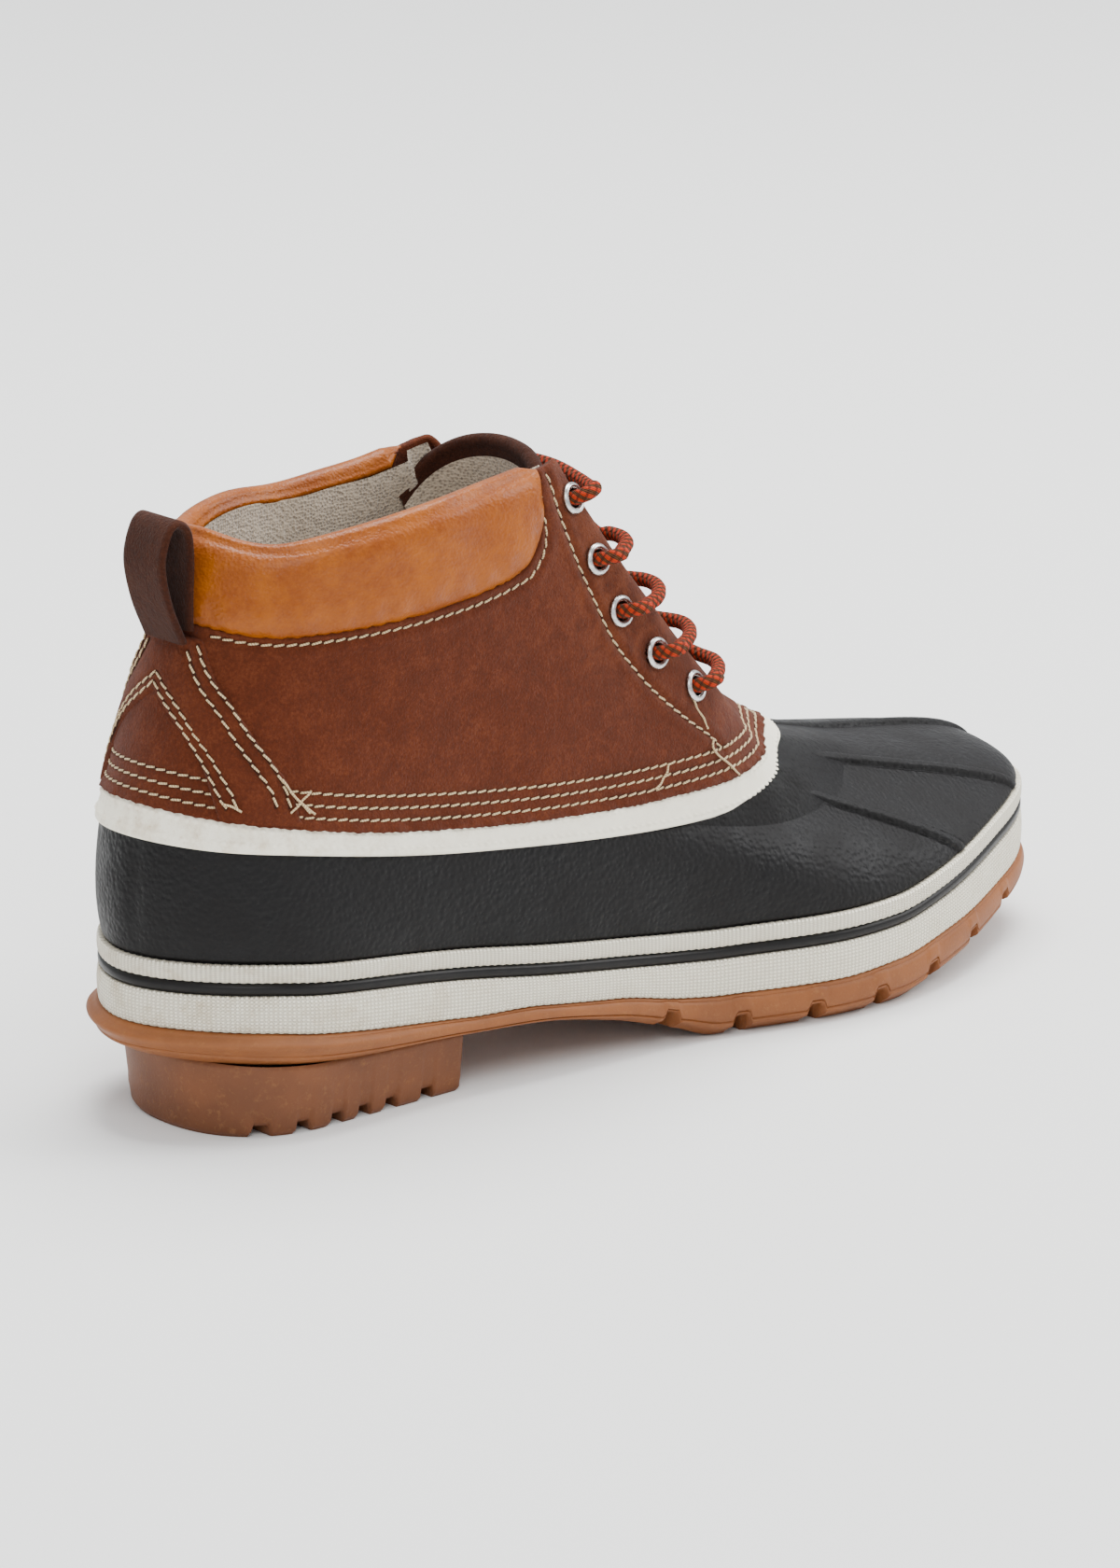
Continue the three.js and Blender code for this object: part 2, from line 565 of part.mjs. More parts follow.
// Pull loop: a strap folded up behind the collar
function pullLoop() {
  const route = [[0.0470, 0.797], [0.0330, 0.860], [0.0260, 0.925], [0.0330, 0.975], [0.0430, 0.990],
    [0.0535, 0.972], [0.0560, 0.925], [0.0545, 0.870], [0.0540, 0.815]]
  const middle = new THREE.CatmullRomCurve3(
    route.map(([x, z]) => new THREE.Vector3(x * bootLength, -loopShift, z * collarHeight)))
  const steps = 18
  const rings = []
  for (let i = 0; i <= steps; i++) {
    const point = middle.getPoint(i / steps)
    const way = middle.getTangent(i / steps)
    const across = new THREE.Vector3(-way.z, 0, way.x).multiplyScalar(loopThickness / 2)
    const side = new THREE.Vector3(0, loopWidth / 2, 0)
    rings.push([[1, 1], [-1, 1], [-1, -1], [1, -1]].map(
      ([a, b]) => point.clone().addScaledVector(across, a).addScaledVector(side, b)))
  }
  return filledSolid(rings)
}

// Tongue: a curved sheet under the facings, rising over the collar. Its half width reaches a margin past the
// collar's front corners, and the table holds shares of it: bulge is the height over the line between the two
// facing edges, depth how far the wings fall back, and round how far they dip. slide is how many tongue feet
// a row runs on under the throat.
const frontCorner = topRing.find(row => row.at === 0.166)
const tongueHalfWidth = frontCorner.outer * ballWidth + tongueMargin
const tongueRows = [
  { at: 0.000, slide: 1, bulge: -0.128, half: 0.46, depth: 0.19, round: 0 },
  { at: 0.010, slide: 0, bulge: -0.121, half: 0.56, depth: 0.26, round: 0 },
  { at: 0.040, slide: 0, bulge: -0.045, half: 0.66, depth: 0.34, round: 0 },
  { at: 0.075, slide: 0, bulge: -0.015, half: 0.77, depth: 0.45, round: 0 },
  { at: 0.113, slide: 0, bulge: 0.060, half: 0.89, depth: 0.64, round: 0 },
  { at: 0.138, slide: 0, bulge: 0.174, half: 0.98, depth: 0.83, round: 0.15 },
  { at: 0.150, slide: 0, bulge: 0.245, half: 1.00, depth: 0.906, round: 0.30 },
]
function tongue() {
  const chord = at => topLine(at).add(topLine(1 - at)).multiplyScalar(0.5).setY(0)
  const across = 10
  const flatness = 0.8
  const rings = tongueRows.map(({ at, slide, bulge, half, depth, round }) => {
    const up = chord(at + 0.008).sub(chord(Math.max(at - 0.008, 0))).normalize()
    const inward = new THREE.Vector3(-up.z, 0, up.x)
    const centre = chord(at).addScaledVector(up, -slide * tongueFoot)
      .addScaledVector(inward, -bulge * tongueHalfWidth)
    const row = inset => Array.from({ length: across + 1 }, (_, i) => {
      const angle = (2 * i / across - 1) * Math.PI / 2
      const bend = 1 - Math.max(Math.cos(angle), 0) ** flatness
      const point = centre.clone().addScaledVector(inward, inset + (depth * tongueHalfWidth - inset) * bend)
      point.addScaledVector(up, -round * tongueHalfWidth * bend)
      point.y = Math.sin(angle) * (half * tongueHalfWidth - inset)
      return point
    })
    return [...row(0), ...row(tongueThickness).reverse()]
  })
  const count = rings[0].length
  const faces = stitchRings(rings, false)
  for (const start of [0, (rings.length - 1) * count]) {
    for (let i = 0; i < across; i++) {
      const a = start + i, b = start + i + 1, c = start + count - 2 - i, d = start + count - 1 - i
      faces.push(...(start ? [a, c, b, a, d, c] : [a, b, c, a, c, d]))
    }
  }
  return solid(geometryFrom(rings.flat(), faces))
}

function insole() {
  const floor = x => outsoleTop(x) + clearance
  const edge = foxingThickness + shellWall + insoleInset
  return filledSolid([soleRing(edge, floor), soleRing(edge, x => floor(x) + insoleThickness)])
}

// Lace: each row's two strands cross over the tongue and the top row is a bar, all one solid
function strand(from, to, lift) {
  const seat = flangeTop + clearance + laceRadius
  const rise = (frame, distance) => frame.centre.clone().addScaledVector(frame.normal, distance)
  const overFacing = frame => {
    const offset = suedeProud + seat + laceLoose
    const route = facingRoute(frame).map(({ place, level }) => wallOffset(place, level, offset))
    const step = route[0].clone().sub(frame.centre).projectOnPlane(frame.normal)
    const shoulder = rise(frame, seat + laceSlack).add(step.setLength(eyeletRadius * laceShoulder))
    return [rise(frame, seat), shoulder, ...route]
  }
  const edge = frame => facingRoute(frame).at(-1)
  const outwards = wallNormal(edge(from).place, edge(from).level)
    .add(wallNormal(edge(to).place, edge(to).level)).normalize()
  const near = overFacing(from), far = overFacing(to)
  const middle = near.at(-1).clone().add(far.at(-1)).multiplyScalar(0.5).addScaledVector(outwards, lift)
  const points = [...near, middle, ...far.reverse()]
  const corners = 4
  const section = Array.from({ length: corners }, (_, i) => {
    const angle = 2 * Math.PI * i / corners
    return new THREE.Vector2(laceRadius * Math.cos(angle), laceRadius * Math.sin(angle))
  })
  const extrudePath = new THREE.CatmullRomCurve3(points)
  return solid(new THREE.ExtrudeGeometry(new THREE.Shape(section), { steps: laceSteps, extrudePath }))
}
// How far each row's strands rise over the tongue, as shares of the lace's radius; the second one rides lower
const laceLiftShares = [0, 1.79, 0.84, 0.53, 0.32]
function lace() {
  const lifts = laceLiftShares.map(share => share * laceRadius)
  const frameOf = (row, sign) => eyelets.find(item => item.row === row && item.side.sign === sign).frame
  let cord = strand(frameOf(0, -1), frameOf(0, 1), laceArch)
  for (let row = 1; row < eyeletPlaces.length; row++) {
    cord = cord.add(strand(frameOf(row, -1), frameOf(row - 1, 1), lifts[row]))
    cord = cord.add(strand(frameOf(row, 1), frameOf(row - 1, -1), lifts[row] - laceDip))
  }
  return cord
}

add('outsole', outsole(), gum, 0.75)
add('heel', heel(), '#a5693a', 0.75)
add('foxing_lower', foxingBand(seatHeight, x => stripeFoot(x) - clearance, 0), white, 0.8)
add('foxing_stripe', foxingBand(stripeFoot, x => stripeTop(x) - clearance, stripeRecess), black, 0.6)
add('foxing_upper', foxingBand(stripeTop, weltHeight, 0), white, 0.8)
add('shell', shell(), black, 0.45)
add('rand', rand(), white, 0.6)
const collarPrism = sidePrism(collarOutline)
const backstayPrism = sidePrism(backstayOutline)
const even = size => () => size
let upper = suedeWallSolid(even(suedeProud - suedeWall), even(suedeProud))
upper = upper.subtract(sidePrism(collarOutline, clearance))
for (const { frame } of eyelets) {
  upper = upper.subtract(turned(holeCutter, frame)).subtract(turned(seatCutter, frame))
}
add('upper', upper, suede, 0.9)
const collar = suedeWallSolid(puff(-collarWall), puff(collarPuff), collarShares)
add('collar', collar.intersect(collarPrism), '#bb6f2a', 0.4)
const backstayFoot = suedeProud + clearance
const backstay = suedeWallSolid(even(backstayFoot), even(backstayFoot + backstayThickness))
add('backstay', backstay.intersect(backstayPrism).subtract(sidePrism(chevronOutline)), suede, 0.9)
add('pull_loop', pullLoop(), suede, 0.9)
add('insole', insole(), '#8d857a', 0.9)
add('tongue', tongue(), suede, 0.9)
for (const { name, frame } of eyelets) add(name, turned(eyeletShape, frame), '#c9cbcd', 0.3, 1)
add('lace', lace(), '#b4472a', 0.8)

// Centred over the floor
const bounds = new THREE.Box3().setFromObject(group)
const middle = bounds.getCenter(new THREE.Vector3())
for (const mesh of group.children) mesh.geometry.translate(-middle.x, -middle.y, -bounds.min.z)

export default group
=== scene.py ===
# A duck boot for the right foot: moulded rubber shell, suede upper, padded leather collar and gum sole.
# Sizes are in millimetres on the last: x from heel to toe, y to the wearer's left, z up. toFrame moves them.
import math
import bpy
import numpy as np
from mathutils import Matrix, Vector


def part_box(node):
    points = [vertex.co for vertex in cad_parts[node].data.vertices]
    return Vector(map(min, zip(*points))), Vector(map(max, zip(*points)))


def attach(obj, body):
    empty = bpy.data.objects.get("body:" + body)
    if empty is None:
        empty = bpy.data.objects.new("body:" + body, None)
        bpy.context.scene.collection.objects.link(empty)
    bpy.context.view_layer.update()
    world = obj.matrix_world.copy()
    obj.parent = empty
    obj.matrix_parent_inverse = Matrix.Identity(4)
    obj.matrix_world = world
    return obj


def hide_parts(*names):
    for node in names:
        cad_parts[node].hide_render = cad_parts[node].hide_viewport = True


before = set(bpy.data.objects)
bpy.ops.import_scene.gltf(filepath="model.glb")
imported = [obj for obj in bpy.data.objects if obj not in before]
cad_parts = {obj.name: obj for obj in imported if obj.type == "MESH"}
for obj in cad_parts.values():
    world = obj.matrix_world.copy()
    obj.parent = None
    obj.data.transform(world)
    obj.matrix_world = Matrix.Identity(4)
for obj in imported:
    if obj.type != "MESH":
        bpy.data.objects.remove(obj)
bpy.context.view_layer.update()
print("frame loaded")

boot = {
    "length": 306.0, "ballWidth": 106.0, "heelFoxing": 47.0, "instepHeight": 68.0, "collarHeight": 160.0,
    "throatHeight": 83.5, "archHeight": 16.0, "toeSpring": 12.0, "foxingHeight": 17.8, "foxingThick": 3.0,
    "stripe": 3.4, "topBand": 4.6, "ledge": 1.3, "shellWall": 2.2, "suedeWall": 2.2, "suedeProud": 1.5,
    "randThick": 1.1, "randHeight": 9.6, "heelShift": 3.0, "gap": 0.3,
}

# The heel block is centred heelShift to the outer side, and the foxing's back is where x starts
heelLow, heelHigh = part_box("heel")
foxingLow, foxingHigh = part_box("foxing_lower")
lastOrigin = np.array([foxingLow.x * 1000, (heelLow.y + heelHigh.y) * 500 + boot["heelShift"], 0.0])


def toFrame(points):
    return (np.asarray(points, float) + lastOrigin) * 0.001


# Camera: the photograph's angle to the boot, seen from behind its outer side
view = {
    "azimuth": -41.3, "elevation": 16.3, "distance": 1900.0, "aim": (148.0, 0.0, 63.0),
    "pixelsPerMillimetre": 4.04, "pictureHeight": 1680, "sensor": 36.0,
}


def addCamera():
    azimuth, elevation = math.radians(view["azimuth"]), math.radians(view["elevation"])
    back = Vector((math.sin(azimuth) * math.cos(elevation), -math.cos(azimuth) * math.cos(elevation),
                   math.sin(elevation)))
    data = bpy.data.cameras.new("camera")
    data.sensor_width = view["sensor"]
    data.lens = view["pixelsPerMillimetre"] * view["distance"] / view["pictureHeight"] * view["sensor"]
    data.clip_end = 50
    camera = bpy.data.objects.new("camera", data)
    camera.location = Vector(toFrame(view["aim"])) + back * view["distance"] * 0.001
    camera.rotation_euler = (-back).to_track_quat("-Z", "Y").to_euler()
    bpy.context.scene.collection.objects.link(camera)
    bpy.context.scene.camera = camera


addCamera()
print("camera placed")

# Rings round the boot: toe centre at 0, heel centre at 0.5 of the way. x is a share of the boot's length,
# outer and inner are shares of the ball width, rise a share of the height named beside its use.
foxingRing = {
    "at": [0, .020, .035, .054, .082, .113, .153, .195, .228, .260, .317, .360, .402, .430, .462, .5],
    "x": [1.003, .996, .983, .952, .890, .824, .735, .637, .560, .490, .359, .261, .163, .098, .038, 0],
    "outer": [-.057, .090, .180, .272, .372, .457, .522, .513, .453, .413, .390, .366, .362, .333, .222, 0],
    "inner": [.057, .175, .252, .328, .405, .455, .474, .436, .380, .342, .323, .334, .344, .324, .226, 0],
}
shellRing = {
    "at": [0, .030, .054, .075, .113, .153, .195, .260, .317, .360, .402, .430, .462, .5],
    "x": [.7205, .7010, .6800, .6625, .6438, .5980, .5294, .4183, .3203, .2418, .1570, .0950, .0375, .0050],
    "outer": [-.010, .125, .184, .236, .288, .344, .373, .375, .358, .347, .326, .297, .215, 0],
    "inner": [.010, .140, .196, .240, .285, .330, .350, .348, .337, .327, .316, .288, .205, 0],
    "rise": [.982, .977, .963, .924, .897, .871, .869, .900, .941, .984, 1.044, 1.093, 1.132, 1.154],
}
topRing = {
    "at": [0, .020, .040, .075, .113, .145, .156, .166, .195, .260, .317, .360, .402, .430, .462, .5],
    "x": [.590, .580, .551, .499, .447, .411, .403, .397, .361, .294, .239, .195, .150, .124, .1023, .090],
    "outer": [-.014, .071, .108, .142, .175, .212, .228, .242, .266, .292, .300, .281, .238, .189, .116, 0],
    "inner": [.014, .085, .113, .142, .170, .203, .217, .228, .250, .269, .274, .259, .226, .184, .116, 0],
    "rise": [0, .033, .144, .379, .686, .941, .993, .997, .984, .961, .935, .908, .876, .856, .864, .889],
    "drop": [0, 0, 0, 0, .01, .03, .03, .03, .06, .08, .07, .03, .01, 0, 0, 0],
}
# Fullness of the wall between two rings: near and far are shares of the way, swell runs out and lift up
shellFullness = {
    "at": [0, .030, .054, .113, .153, .195, .260, .360, .5],
    "near": [0, .01, .02, .05, .08, .12, .20, .30, .30],
    "swell": [.007, .008, .010, .016, .018, .018, .020, .020, .036],
    "lift": [.212, .150, .090, .060, .075, .080, .045, 0, 0],
    "far": [.32, .33, .33, .35, .35, .34, .33, .33, .33],
    "farSwell": [0, 0, 0, .006, .015, .020, .020, .014, .022],
    "farLift": [-.043, -.025, -.012, -.005, .015, .030, .012, 0, 0],
}
suedeFullness = {
    "at": [0, .040, .075, .113, .156, .260, .400, .5],
    "near": [.32] * 8,
    "swell": [0, .015, .035, .035, .025, .008, .004, .004],
    "lift": [.020, .035, .050, .080, .100, .050, 0, 0],
    "far": [.32] * 8,
    "farSwell": [0, .015, .030, .030, .020, -.022, -.014, -.014],
    "farLift": [.010, .025, .020, .010, 0, 0, 0, 0],
}
randLine = {
    "at": [0, .054, .113, .195, .260, .360, .430, .5],
    "tall": [.95, 1.04, 1.00, .98, .88, .80, .80, 1.00],
}
# Along the foot: welt is the foxing's top, seat the white band's lower edge, tread the gum's lower edge
soleLines = {
    "along": [0, .07, .12, .19, .27, .35, .43, .50, .54, .65, .72, .78, .84, .92, 1.0],
    "welt": [1.0, .987, .955, .910, .845, .770, .703, .650, .632, .625, .636, .690, .752, .830, .893],
    "seat": [.98, 1.00, 1.02, 1.04, 1.02, .90, .90, .99, 1.01, 1.02, .98, .98, 1.03, 1.06, 1.07],
    "tread": [1.30, 1.20, 1.13, 1.06, 1.00, .92, .64, .24, 0, 0, 0, .17, .36, .62, .90],
}


def hermite(knots, values, slopes, at):
    i = np.clip(np.searchsorted(knots, at, side="right") - 1, 0, len(knots) - 2)
    width = knots[i + 1] - knots[i]
    t = np.clip((at - knots[i]) / width, 0, 1)
    start = (2 * t ** 3 - 3 * t ** 2 + 1) * values[i] + (t ** 3 - 2 * t ** 2 + t) * width * slopes[i]
    return start + (3 * t ** 2 - 2 * t ** 3) * values[i + 1] + (t ** 3 - t ** 2) * width * slopes[i + 1]


def roundCurve(table, column, innerColumn=None, scale=1.0, innerScale=None):
    outer = np.array(table[column], float) * scale
    inner = np.array(table[innerColumn or column], float) * (scale if innerScale is None else innerScale)
    at = np.array(table["at"], float)
    knots = np.concatenate([at, 1 - at[-2::-1]])
    values = np.concatenate([outer, inner[-2::-1]])
    gap = np.diff(knots)
    rise = np.diff(values) / gap
    count = len(gap)
    system, right = np.zeros((count, count)), np.zeros(count)
    for i in range(count):
        system[i, i - 1] += gap[i]
        system[i, i] += 2 * (gap[i - 1] + gap[i])
        system[i, (i + 1) % count] += gap[i - 1]
        right[i] = 3 * (gap[i] * rise[i - 1] + gap[i - 1] * rise[i])
    slopes = np.linalg.solve(system, right)
    slopes = np.append(slopes, slopes[0])
    return lambda place: hermite(knots, values, slopes, np.mod(place, 1.0))


def lengthCurve(column, size):
    knots, values = np.array(soleLines["along"]), np.array(soleLines[column]) * size
    rise = np.diff(values) / np.diff(knots)
    slopes = np.zeros(len(knots))
    for i in range(1, len(knots) - 1):
        before, after = rise[i - 1], rise[i]
        slopes[i] = 0 if before * after <= 0 else 2 * before * after / (before + after)
    return lambda x: hermite(knots, values, slopes, np.clip(x / boot["length"], 0, 1))


weltHeight = lengthCurve("welt", boot["heelFoxing"])
bandHeight = lengthCurve("seat", boot["foxingHeight"])
treadHeight = lengthCurve("tread", boot["archHeight"])


def seatHeight(x):
    return weltHeight(x) - bandHeight(x)


def soleFloor(x):
    return treadHeight(x) + np.maximum(x / boot["length"] - 0.72, 0) ** 1.5 * boot["toeSpring"]


def ringOf(table, rise):
    x = roundCurve(table, "x", scale=boot["length"])
    y = roundCurve(table, "outer", "inner", -boot["ballWidth"], boot["ballWidth"])
    return lambda at: np.stack([x(at), y(at), rise(at, x(at))], -1)


topSpan = boot["collarHeight"] - boot["throatHeight"]
shellRise = roundCurve(shellRing, "rise", scale=boot["instepHeight"])
topRing["innerRise"] = [rise - drop for rise, drop in zip(topRing["rise"], topRing["drop"])]
topRise = roundCurve(topRing, "rise", "innerRise", topSpan)
foxingLine = ringOf(foxingRing, lambda at, x: weltHeight(x))
shellLine = ringOf(shellRing, lambda at, x: shellRise(at))
topLine = ringOf(topRing, lambda at, x: boot["throatHeight"] + topRise(at))
randRise = roundCurve(randLine, "tall", scale=boot["randHeight"])


def unit(vectors):
    return vectors / np.maximum(np.linalg.norm(vectors, axis=-1, keepdims=True), 1e-9)


def outward(at):
    way = foxingLine(at + 0.004) - foxingLine(at - 0.004)
    return unit(np.stack([-way[..., 1], way[..., 0], np.zeros_like(way[..., 0])], -1))


def shapeOf(table):
    curves = {name: roundCurve(table, name) for name in table if name != "at"}
    return lambda at: {name: curve(at)[..., None] for name, curve in curves.items()}


shellShape, suedeShape = shapeOf(shellFullness), shapeOf(suedeFullness)
up = np.array([0.0, 0.0, 1.0])


def between(low, high, shape, at, t):
    form, out, size = shape(at), outward(at), boot["instepHeight"]
    first = low + (high - low) * form["near"] + out * form["swell"] * size + up * form["lift"] * size
    second = high + (low - high) * form["far"] + out * form["farSwell"] * size + up * form["farLift"] * size
    t = t[..., None]
    s = 1 - t
    return low * s ** 3 + 3 * first * s * s * t + 3 * second * s * t * t + high * t ** 3


def wall(at, level):
    at, level = np.broadcast_arrays(np.asarray(at, float), np.asarray(level, float))
    foot = foxingLine(at) - outward(at) * boot["ledge"]
    rubber = between(foot, shellLine(at), shellShape, at, np.clip(level, 0, 1))
    leather = between(shellLine(at), topLine(at), suedeShape, at, np.clip(level - 1, 0, 1))
    return np.where(level[..., None] > 1, leather, rubber)


def wallNormal(at, level):
    at, level = np.broadcast_arrays(np.asarray(at, float), np.asarray(level, float))
    low = np.clip(level - 0.02, 0, 2)
    high = np.clip(level + 0.02, 0, 2)
    return unit(np.cross(wall(at, high) - wall(at, low), wall(at + 0.003, level) - wall(at - 0.003, level)))


def offsetWall(at, level, offset):
    return wall(at, level) + wallNormal(at, level) * np.asarray(offset, float)[..., None]


def topOfRand(at):
    return 1 + randRise(at) / np.linalg.norm(shellLine(at) - topLine(at), axis=-1)


def smooth(x, low, high):
    t = np.clip((x - low) / (high - low), 0, 1)
    return t * t * (3 - 2 * t)


print("last worked out")


def arcLength(points):
    return np.concatenate([[0], np.cumsum(np.linalg.norm(np.diff(points, axis=0), axis=1))])


def resample(points, count):
    points = np.asarray(points, float)
    length = arcLength(points)
    places = np.linspace(0, length[-1], count)
    return np.stack([np.interp(places, length, points[:, i]) for i in range(points.shape[1])], -1)


def curveThrough(points, count):
    # A centripetal-looking smooth curve: Catmull-Rom, then even steps
    points = np.asarray(points, float)
    ends = np.vstack([2 * points[0] - points[1], points, 2 * points[-1] - points[-2]])
    pieces = []
    for i in range(1, len(ends) - 2):
        a, b, c, d = ends[i - 1:i + 3]
        t = np.linspace(0, 1, 24, endpoint=False)[:, None]
        pieces.append(0.5 * (2 * b + (c - a) * t + (2 * a - 5 * b + 4 * c - d) * t ** 2
                             + (3 * b - a - 3 * c + d) * t ** 3))
    return resample(np.vstack(pieces + [points[-1:]]), count)


def nearestDistance(points, line):
    flat = points.reshape(-1, 3)
    result = np.empty(len(flat))
    for start in range(0, len(flat), 4000):
        part = flat[start:start + 4000]
        square = (part ** 2).sum(1)[:, None] + (line ** 2).sum(1)[None] - 2 * part @ line.T
        result[start:start + 4000] = np.sqrt(np.maximum(square.min(1), 0))
    return result.reshape(points.shape[:-1])


searchAt = np.linspace(0, 0.5, 501)
searchLevel = np.linspace(0, 2, 241)
searchGrids = {side: wall((searchAt if side < 0 else 1 - searchAt)[:, None], searchLevel[None, :])
               for side in (-1, 1)}


def locate(places, side):
    # (x, z) in the side view to (at, level) on the wall; side is -1 outer, 1 inner
    places = np.asarray(places, float)
    grid = searchGrids[side][..., [0, 2]].reshape(-1, 2)
    found = []
    for place in places:
        best = int(np.argmin(((grid - place) ** 2).sum(1)))
        at, level = searchAt[best // len(searchLevel)], searchLevel[best % len(searchLevel)]
        found.append([at, level])
    found = np.array(found)
    step = 1e-3
    for turn in range(6):
        at, level = found[:, 0], found[:, 1]
        sided = (lambda a: a) if side < 0 else (lambda a: 1 - a)
        here = wall(sided(at), level)[:, [0, 2]]
        alongAt = (wall(sided(at + step), level)[:, [0, 2]] - here) / step
        alongLevel = (here - wall(sided(at), level - step)[:, [0, 2]]) / step
        miss = places - here
        det = alongAt[:, 0] * alongLevel[:, 1] - alongAt[:, 1] * alongLevel[:, 0]
        det = np.where(np.abs(det) < 1e-3, 1e-3, det)
        moveAt = (miss[:, 0] * alongLevel[:, 1] - miss[:, 1] * alongLevel[:, 0]) / det
        moveLevel = (alongAt[:, 0] * miss[:, 1] - alongAt[:, 1] * miss[:, 0]) / det
        found[:, 0] = np.clip(at + np.clip(moveAt, -0.02, 0.02), 0, 0.5)
        found[:, 1] = np.clip(level + np.clip(moveLevel, -0.1, 0.1), 0, 2)
    if side > 0:
        found[:, 0] = 1 - found[:, 0]
    return found


def gridFaces(rows, columns, wrapColumns, wrapRows):
    r = np.arange(rows if wrapRows else rows - 1)[:, None]
    c = np.arange(columns if wrapColumns else columns - 1)[None, :]
    nextR, nextC = (r + 1) % rows, (c + 1) % columns
    corners = [r * columns + c, nextR * columns + c, nextR * columns + nextC, r * columns + nextC]
    return np.stack([np.broadcast_to(corner, (len(r), c.shape[1])) for corner in corners], -1).reshape(-1, 4)


def gridUvs(rows, columns, wrapColumns, wrapRows, u, v):
    # u has one value per column, v one per row; a wrapped side carries on past its last value
    def ends(values, wrapped):
        values = np.asarray(values, float)
        if wrapped:
            values = np.append(values, values[-1] + (values[-1] - values[-2]))
        return values
    u, v = ends(u, wrapColumns), ends(v, wrapRows)
    r = np.arange(rows if wrapRows else rows - 1)[:, None]
    c = np.arange(columns if wrapColumns else columns - 1)[None, :]
    pairs = [(c, r), (c, r + 1), (c + 1, r + 1), (c + 1, r)]
    both = [np.stack(np.broadcast_arrays(u[a], v[b]), -1) for a, b in pairs]
    return np.stack(both, 2).reshape(-1, 2)


def makePiece(name, parts, finish, replaces=(), smoothShade=True, sharpAngle=None):
    # parts: dictionaries with points (n, 3) on the last, faces (m, 4) or (m, 3), and uvs per corner if any
    points, loops, starts, uvs, count = [], [], [], [], 0
    for part in parts:
        faces = np.asarray(part["faces"])
        points.append(np.asarray(part["points"], float).reshape(-1, 3))
        loops.append((faces + count).ravel())
        starts.append(np.full(len(faces), faces.shape[1]))
        part.setdefault("uvs", np.zeros((faces.size, 2)))
        uvs.append(part["uvs"])
        count += len(points[-1])
    points, loops, sizes = toFrame(np.vstack(points)), np.concatenate(loops), np.concatenate(starts)
    mesh = bpy.data.meshes.new(name)
    mesh.vertices.add(len(points))
    mesh.vertices.foreach_set("co", points.ravel())
    mesh.loops.add(len(loops))
    mesh.loops.foreach_set("vertex_index", loops.astype(np.int32))
    mesh.polygons.add(len(sizes))
    mesh.polygons.foreach_set("loop_start", np.concatenate([[0], np.cumsum(sizes)[:-1]]).astype(np.int32))
    mesh.uv_layers.new(name="lengths").data.foreach_set("uv", np.vstack(uvs).astype(np.float32).ravel())
    mesh.update(calc_edges=True)
    mesh.validate()
    mesh.polygons.foreach_set("use_smooth", np.full(len(mesh.polygons), smoothShade))
    if sharpAngle:
        mesh.set_sharp_from_angle(angle=math.radians(sharpAngle))
    piece = bpy.data.objects.new(name, mesh)
    bpy.context.scene.collection.objects.link(piece)
    mesh.materials.append(finish)
    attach(piece, "root")
    if replaces:
        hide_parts(*replaces)
    return piece


def gridPart(grid, wrapColumns=False, wrapRows=False, u=None, v=None):
    rows, columns = grid.shape[:2]
    part = {"points": grid, "faces": gridFaces(rows, columns, wrapColumns, wrapRows)}
    if u is not None:
        part["uvs"] = gridUvs(rows, columns, wrapColumns, wrapRows, u, v)
    return part


def tubePart(path, radius, sides=8, closedEnds=True, u=None):
    # A round tube along a path; radius may be one value or one per point
    path = np.asarray(path, float)
    way = unit(np.gradient(path, axis=0))
    radius = np.broadcast_to(radius, len(path))
    side = unit(np.cross(way[0], [0.3, 0.5, 0.8]))
    rings = []
    angles = np.linspace(0, 2 * np.pi, sides, endpoint=False)
    for point, ahead, size in zip(path, way, radius):
        side = side - ahead * (side @ ahead)
        side = side / np.linalg.norm(side)
        over = np.cross(ahead, side)
        rings.append(point + size * (np.cos(angles)[:, None] * side + np.sin(angles)[:, None] * over))
    grid = np.array(rings)[:, ::-1]
    length = arcLength(path)
    part = gridPart(grid, wrapColumns=True, u=np.arange(sides) / sides, v=length)
    if closedEnds:
        count = len(path) * sides
        part["points"] = np.vstack([grid.reshape(-1, 3), path[:1], path[-1:]])
        around = np.arange(sides)
        near = np.stack([np.full(sides, count), around, (around + 1) % sides], -1)
        far = count - sides + np.stack([around, np.full(sides, sides + 1), (around + 1) % sides], -1)
        far[:, 1] = count + 1
        caps = np.vstack([near, far])
        quads = part["faces"]
        return [part, {"points": part["points"], "faces": caps}]
    return [part]


